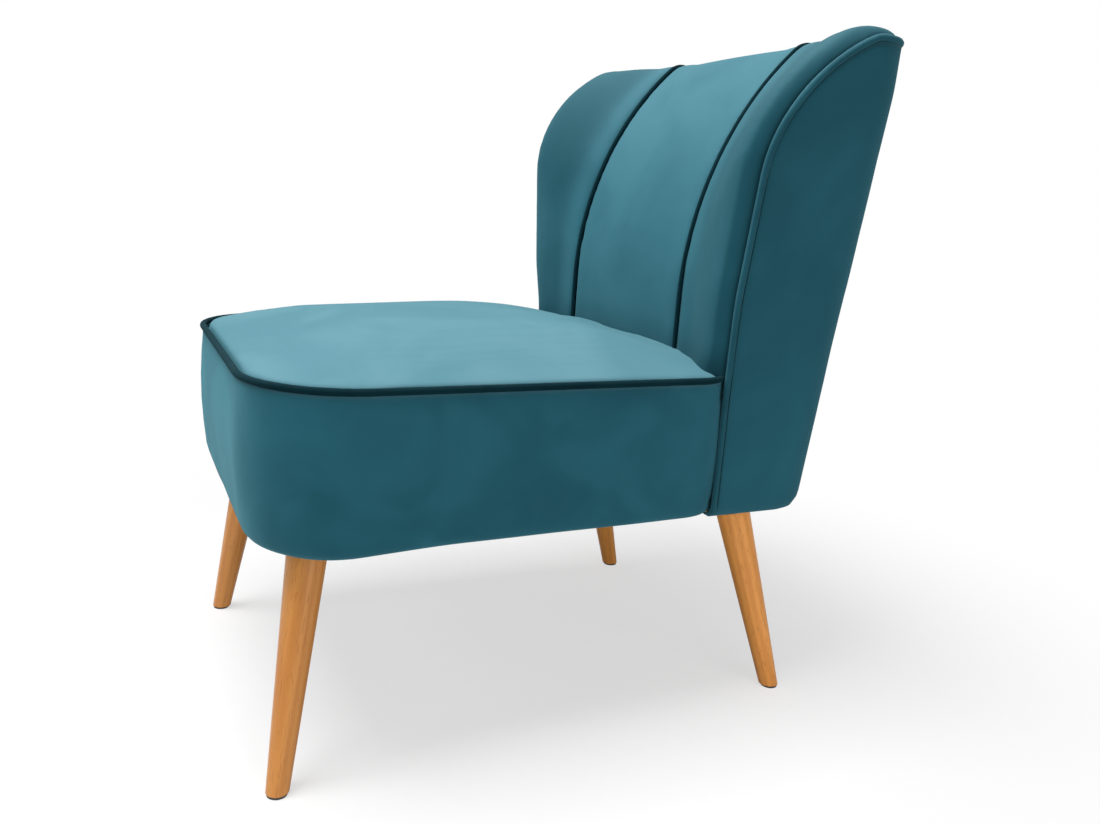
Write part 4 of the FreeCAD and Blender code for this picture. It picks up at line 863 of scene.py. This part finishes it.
panel_velvet = velvet("inside_back_velvet", 6.0, top_light_share=0.55)
for side in ("left", "middle", "right"):
    sources = ("back_%s_pad" % side, "back_%s_cover" % side)
    panel = foam_blank("inside_back_" + side, sources, panel_velvet)
    places = drawn_wings(points_of(panel.data))
    move_points(panel.data, places)
    edges = [distance_to(line, places) for line in cord_lines.values()]
    free = smooth_step(*PANEL_BAND, np.min(edges, axis=0))
    ahead = normals_of(panel.data) @ np.array((0.0, -0.9, 0.45))
    free = free * smooth_step(-0.1, 0.3, ahead) * smooth_step(0.40, 0.44, places[:, 2])
    swell(panel, free, PANEL_INSET, PANEL_CAP)
    soften(panel)
    for name, line in cord_lines.items():
        draw_up(panel, line, SEAM_PULL if "seam" in name else CORD_PULL)
    places = points_of(panel.data)
    low_share = smooth_step(0.56, 0.46, places[:, 2])
    places[:, 1] += LOW_FLAT * low_share * np.clip(1.0 - (places[:, 0] / MIDDLE_HALF) ** 2, 0.0, 1.0)
    move_points(panel.data, places)
    # Painted shade: along the cords, where the panels meet the seat, and over the wings, growing towards their
    # tops.
    by_cord = np.min([distance_to(line, places) for line in cord_lines.values()], axis=0)
    by_seat = distance_to(seat_points[seat_points[:, 1] > seat_rear - 0.02], places)
    shade_share = SEAM_PAINTED_SHADE * nearness(by_cord, SEAM_SHADE) + SEAT_PAINTED_SHADE * nearness(by_seat, SEAT_SHADE)
    upward = WING_PAINTED_SHADE + WING_TOP_PAINTED_SHADE * smooth_step(0.45, 0.70, places[:, 2])
    brush_and_wing_shade = smooth_step(MIDDLE_HALF, 0.19, np.abs(places[:, 0])) * upward
    paint_shade(panel, np.minimum(shade_share + brush_and_wing_shade, MOST_PAINTED_SHADE))
    finish_pad(panel, sources)


# Outside back: one velvet strip drawn round both sides and the rear, over the board,
# sewn under the edge cord and turned under the rails at the bottom.

SIDE_COLUMNS = 26
CORNER_COLUMNS = 16
REAR_COLUMNS = 40
BACK_ROWS = 80
SIDE_TOP_PAINTED_SHADE = 0.22
back_wall = wall_of("back_outside_cover")
back_low, back_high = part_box("back_outside_cover")
corner_middle = Vector((0.178, 0.243, 0.0))
lanes = []
for share in np.linspace(0.0, 1.0, SIDE_COLUMNS) ** 1.6:
    y = (back_low.y + 0.0006) * (1.0 - share) + corner_middle.y * share
    lanes.append((Vector((0.45, y, 0.0)), Vector((-1.0, 0.0, 0.0))))
for share in np.linspace(0.0, 1.0, CORNER_COLUMNS + 2)[1:-1]:
    away = Vector((math.cos(QUARTER * share), math.sin(QUARTER * share), 0.0))
    lanes.append((corner_middle + away * 0.25, -away))
for share in np.linspace(0.0, 1.0, REAR_COLUMNS // 2):
    lanes.append((Vector((corner_middle.x * (1.0 - share), 0.5, 0.0)), Vector((0.0, -1.0, 0.0))))
mirror = [(Vector((-start.x, start.y, 0.0)), Vector((-way.x, way.y, 0.0))) for start, way in lanes[:-1]]
lanes = lanes + mirror[::-1]


def wall_point(lane, height):
    start, way = lane
    return back_wall.ray_cast(start + Vector((0.0, 0.0, height)), way)[0]


def top_of(lane):
    """Height of the strip's sewn edge above one place on its bottom line."""
    low = (back_low.z + back_high.z) / 2
    high = back_high.z + 0.002
    for _ in range(18):
        middle = (low + high) / 2
        hit = wall_point(lane, middle)
        inside = hit is not None and (hit - (lane[0] + Vector((0.0, 0.0, middle)))).length < 0.35
        low, high = (middle, high) if inside else (low, middle)
    return low


tops = [top_of(lane) for lane in lanes]
foot_steps = np.array((0.0008, 0.0025, 0.0055, 0.0095, 0.0145, 0.0205))
rows = []
for step in foot_steps:
    rows.append(np.array([wall_point(lane, back_low.z + step) for lane in lanes]))
for share in np.linspace(0.0, 1.0, BACK_ROWS)[1:]:
    first = back_low.z + foot_steps[-1]
    rows.append(np.array([wall_point(lane, first + (top - first) * share) for lane, top in zip(lanes, tops)]))
outward = -np.array([way for start, way in lanes])
hem = [rows[0] - outward * HEM_DEPTH * share for share in np.linspace(1.0, 1.0 / HEM_ROWS, HEM_ROWS)]
rows = hem + rows
rows = [drawn_wings(ripple(row, outward, 7.0, 0.0007)) for row in rows]
outside_back = cloth_from_rows("outside_back", rows[::-1], velvet("outside_back_velvet", 6.0, top_light_share=0.6))
# Painted shade along the edge cord and over the upper sides.
places = points_of(outside_back.data)
shade_share = SEAM_PAINTED_SHADE * nearness(distance_to(cord_lines["back_piping"], places), SEAM_SHADE)
paint_shade(outside_back, shade_share + SIDE_TOP_PAINTED_SHADE * smooth_step(0.45, 0.72, places[:, 2]))
finish_pad(outside_back, ["back_outside_cover"])


# Studio: a plain pale floor that keeps the shadow, one broad lamp overhead, weaker ones
# ahead of the chair and at its left side, and the camera at the photograph's place.

FLOOR_HALF = 6.0
floor_mesh = bpy.data.meshes.new("floor")
corners = [(-FLOOR_HALF, -FLOOR_HALF, 0.0), (FLOOR_HALF, -FLOOR_HALF, 0.0),
           (FLOOR_HALF, FLOOR_HALF, 0.0), (-FLOOR_HALF, FLOOR_HALF, 0.0)]
floor_mesh.from_pydata(corners, [], [(0, 1, 2, 3)])
floor_paint, tree, shader = new_material("floor_paint")
spot = add_node(tree, "ShaderNodeTexCoord")
grit = add_node(tree, "ShaderNodeTexNoise", Vector=spot.outputs["Object"], Scale=60.0, Detail=3.0)
tree.links.new(
    mixed_colour(tree, grit.outputs["Fac"], (0.80, 0.80, 0.80), (0.84, 0.84, 0.84)),
    shader.inputs["Base Color"],
)
shader.inputs["Roughness"].default_value = 0.9
shader.inputs["Specular IOR Level"].default_value = 0.1
paper = add_node(tree, "ShaderNodeEmission", Strength=1.0)
away = add_node(tree, "ShaderNodeVectorMath", operation="LENGTH")
tree.links.new(spot.outputs["Object"], away.inputs[0])
fade = add_node(
    tree, "ShaderNodeMapRange", interpolation_type="SMOOTHSTEP", Value=away.outputs["Value"],
    From_Min=0.3, From_Max=1.1, To_Min=0.6
)
ray = add_node(tree, "ShaderNodeLightPath")
seen = add_node(tree, "ShaderNodeMath", operation="MULTIPLY")
tree.links.new(fade.outputs["Result"], seen.inputs[0])
tree.links.new(ray.outputs["Is Camera Ray"], seen.inputs[1])
both = add_node(tree, "ShaderNodeMixShader")
tree.links.new(seen.outputs[0], both.inputs[0])
tree.links.new(shader.outputs[0], both.inputs[1])
tree.links.new(paper.outputs[0], both.inputs[2])
tree.links.new(both.outputs[0], tree.nodes["Material Output"].inputs["Surface"])
new_piece("floor", floor_mesh, floor_paint)

world = bpy.data.worlds.new("studio")
world.use_nodes = True
scene.world = world
tree = world.node_tree
sky = tree.nodes["Background"]
sky.inputs["Color"].default_value = (1.0, 1.0, 1.0, 1.0)
ray = add_node(tree, "ShaderNodeLightPath")
white_seen = ray.outputs["Is Camera Ray"]
for kind in ("Is Glossy Ray", "Is Transmission Ray"):
    either = add_node(tree, "ShaderNodeMath", operation="MAXIMUM")
    tree.links.new(white_seen, either.inputs[0])
    tree.links.new(ray.outputs[kind], either.inputs[1])
    white_seen = either.outputs[0]
level = add_node(tree, "ShaderNodeMapRange", Value=white_seen, To_Min=0.22, To_Max=1.0)
tree.links.new(level.outputs["Result"], sky.inputs["Strength"])


def lamp(name, place, aim, size, power):
    light = bpy.data.lights.new(name, "AREA")
    light.size = size
    light.energy = power
    made = bpy.data.objects.new(name, light)
    scene.collection.objects.link(made)
    made.location = place
    made.rotation_euler = (Vector(aim) - Vector(place)).to_track_quat("-Z", "Y").to_euler()


lamp("overhead", (0.15, -0.9, 2.7), (0.0, 0.0, 0.4), 1.5, 84.0)
lamp("ahead", (0.1, -2.6, 1.8), (0.0, 0.0, 0.5), 1.2, 16.0)
lamp("beside", (2.5, 0.5, 0.8), (0.0, 0.0, 0.35), 1.6, 21.0)

CAMERA_PLACE = Vector((1.03856, -0.45160, 0.57718))
CAMERA_TURN = 1.11177
CAMERA_DIP = 0.22443
CAMERA_ROLL = 0.06828
FOCAL_PIXELS = 934.76
IMAGE_WIDTH = 1100
lens = bpy.data.cameras.new("camera")
lens.sensor_width = 36.0
lens.lens = FOCAL_PIXELS * lens.sensor_width / IMAGE_WIDTH
camera = bpy.data.objects.new("camera", lens)
scene.collection.objects.link(camera)
level_dip = math.cos(CAMERA_DIP)
forward = Vector((-math.sin(CAMERA_TURN) * level_dip, math.cos(CAMERA_TURN) * level_dip, -math.sin(CAMERA_DIP)))
right = forward.cross(Vector((0.0, 0.0, 1.0))).normalized()
upward = right.cross(forward)
rolled_right = right * math.cos(CAMERA_ROLL) + upward * math.sin(CAMERA_ROLL)
rolled_up = upward * math.cos(CAMERA_ROLL) - right * math.sin(CAMERA_ROLL)
facing = Matrix((rolled_right, rolled_up, -forward)).transposed().to_4x4()
camera.matrix_world = Matrix.Translation(CAMERA_PLACE) @ facing
scene.camera = camera
scene.view_settings.view_transform = "Standard"
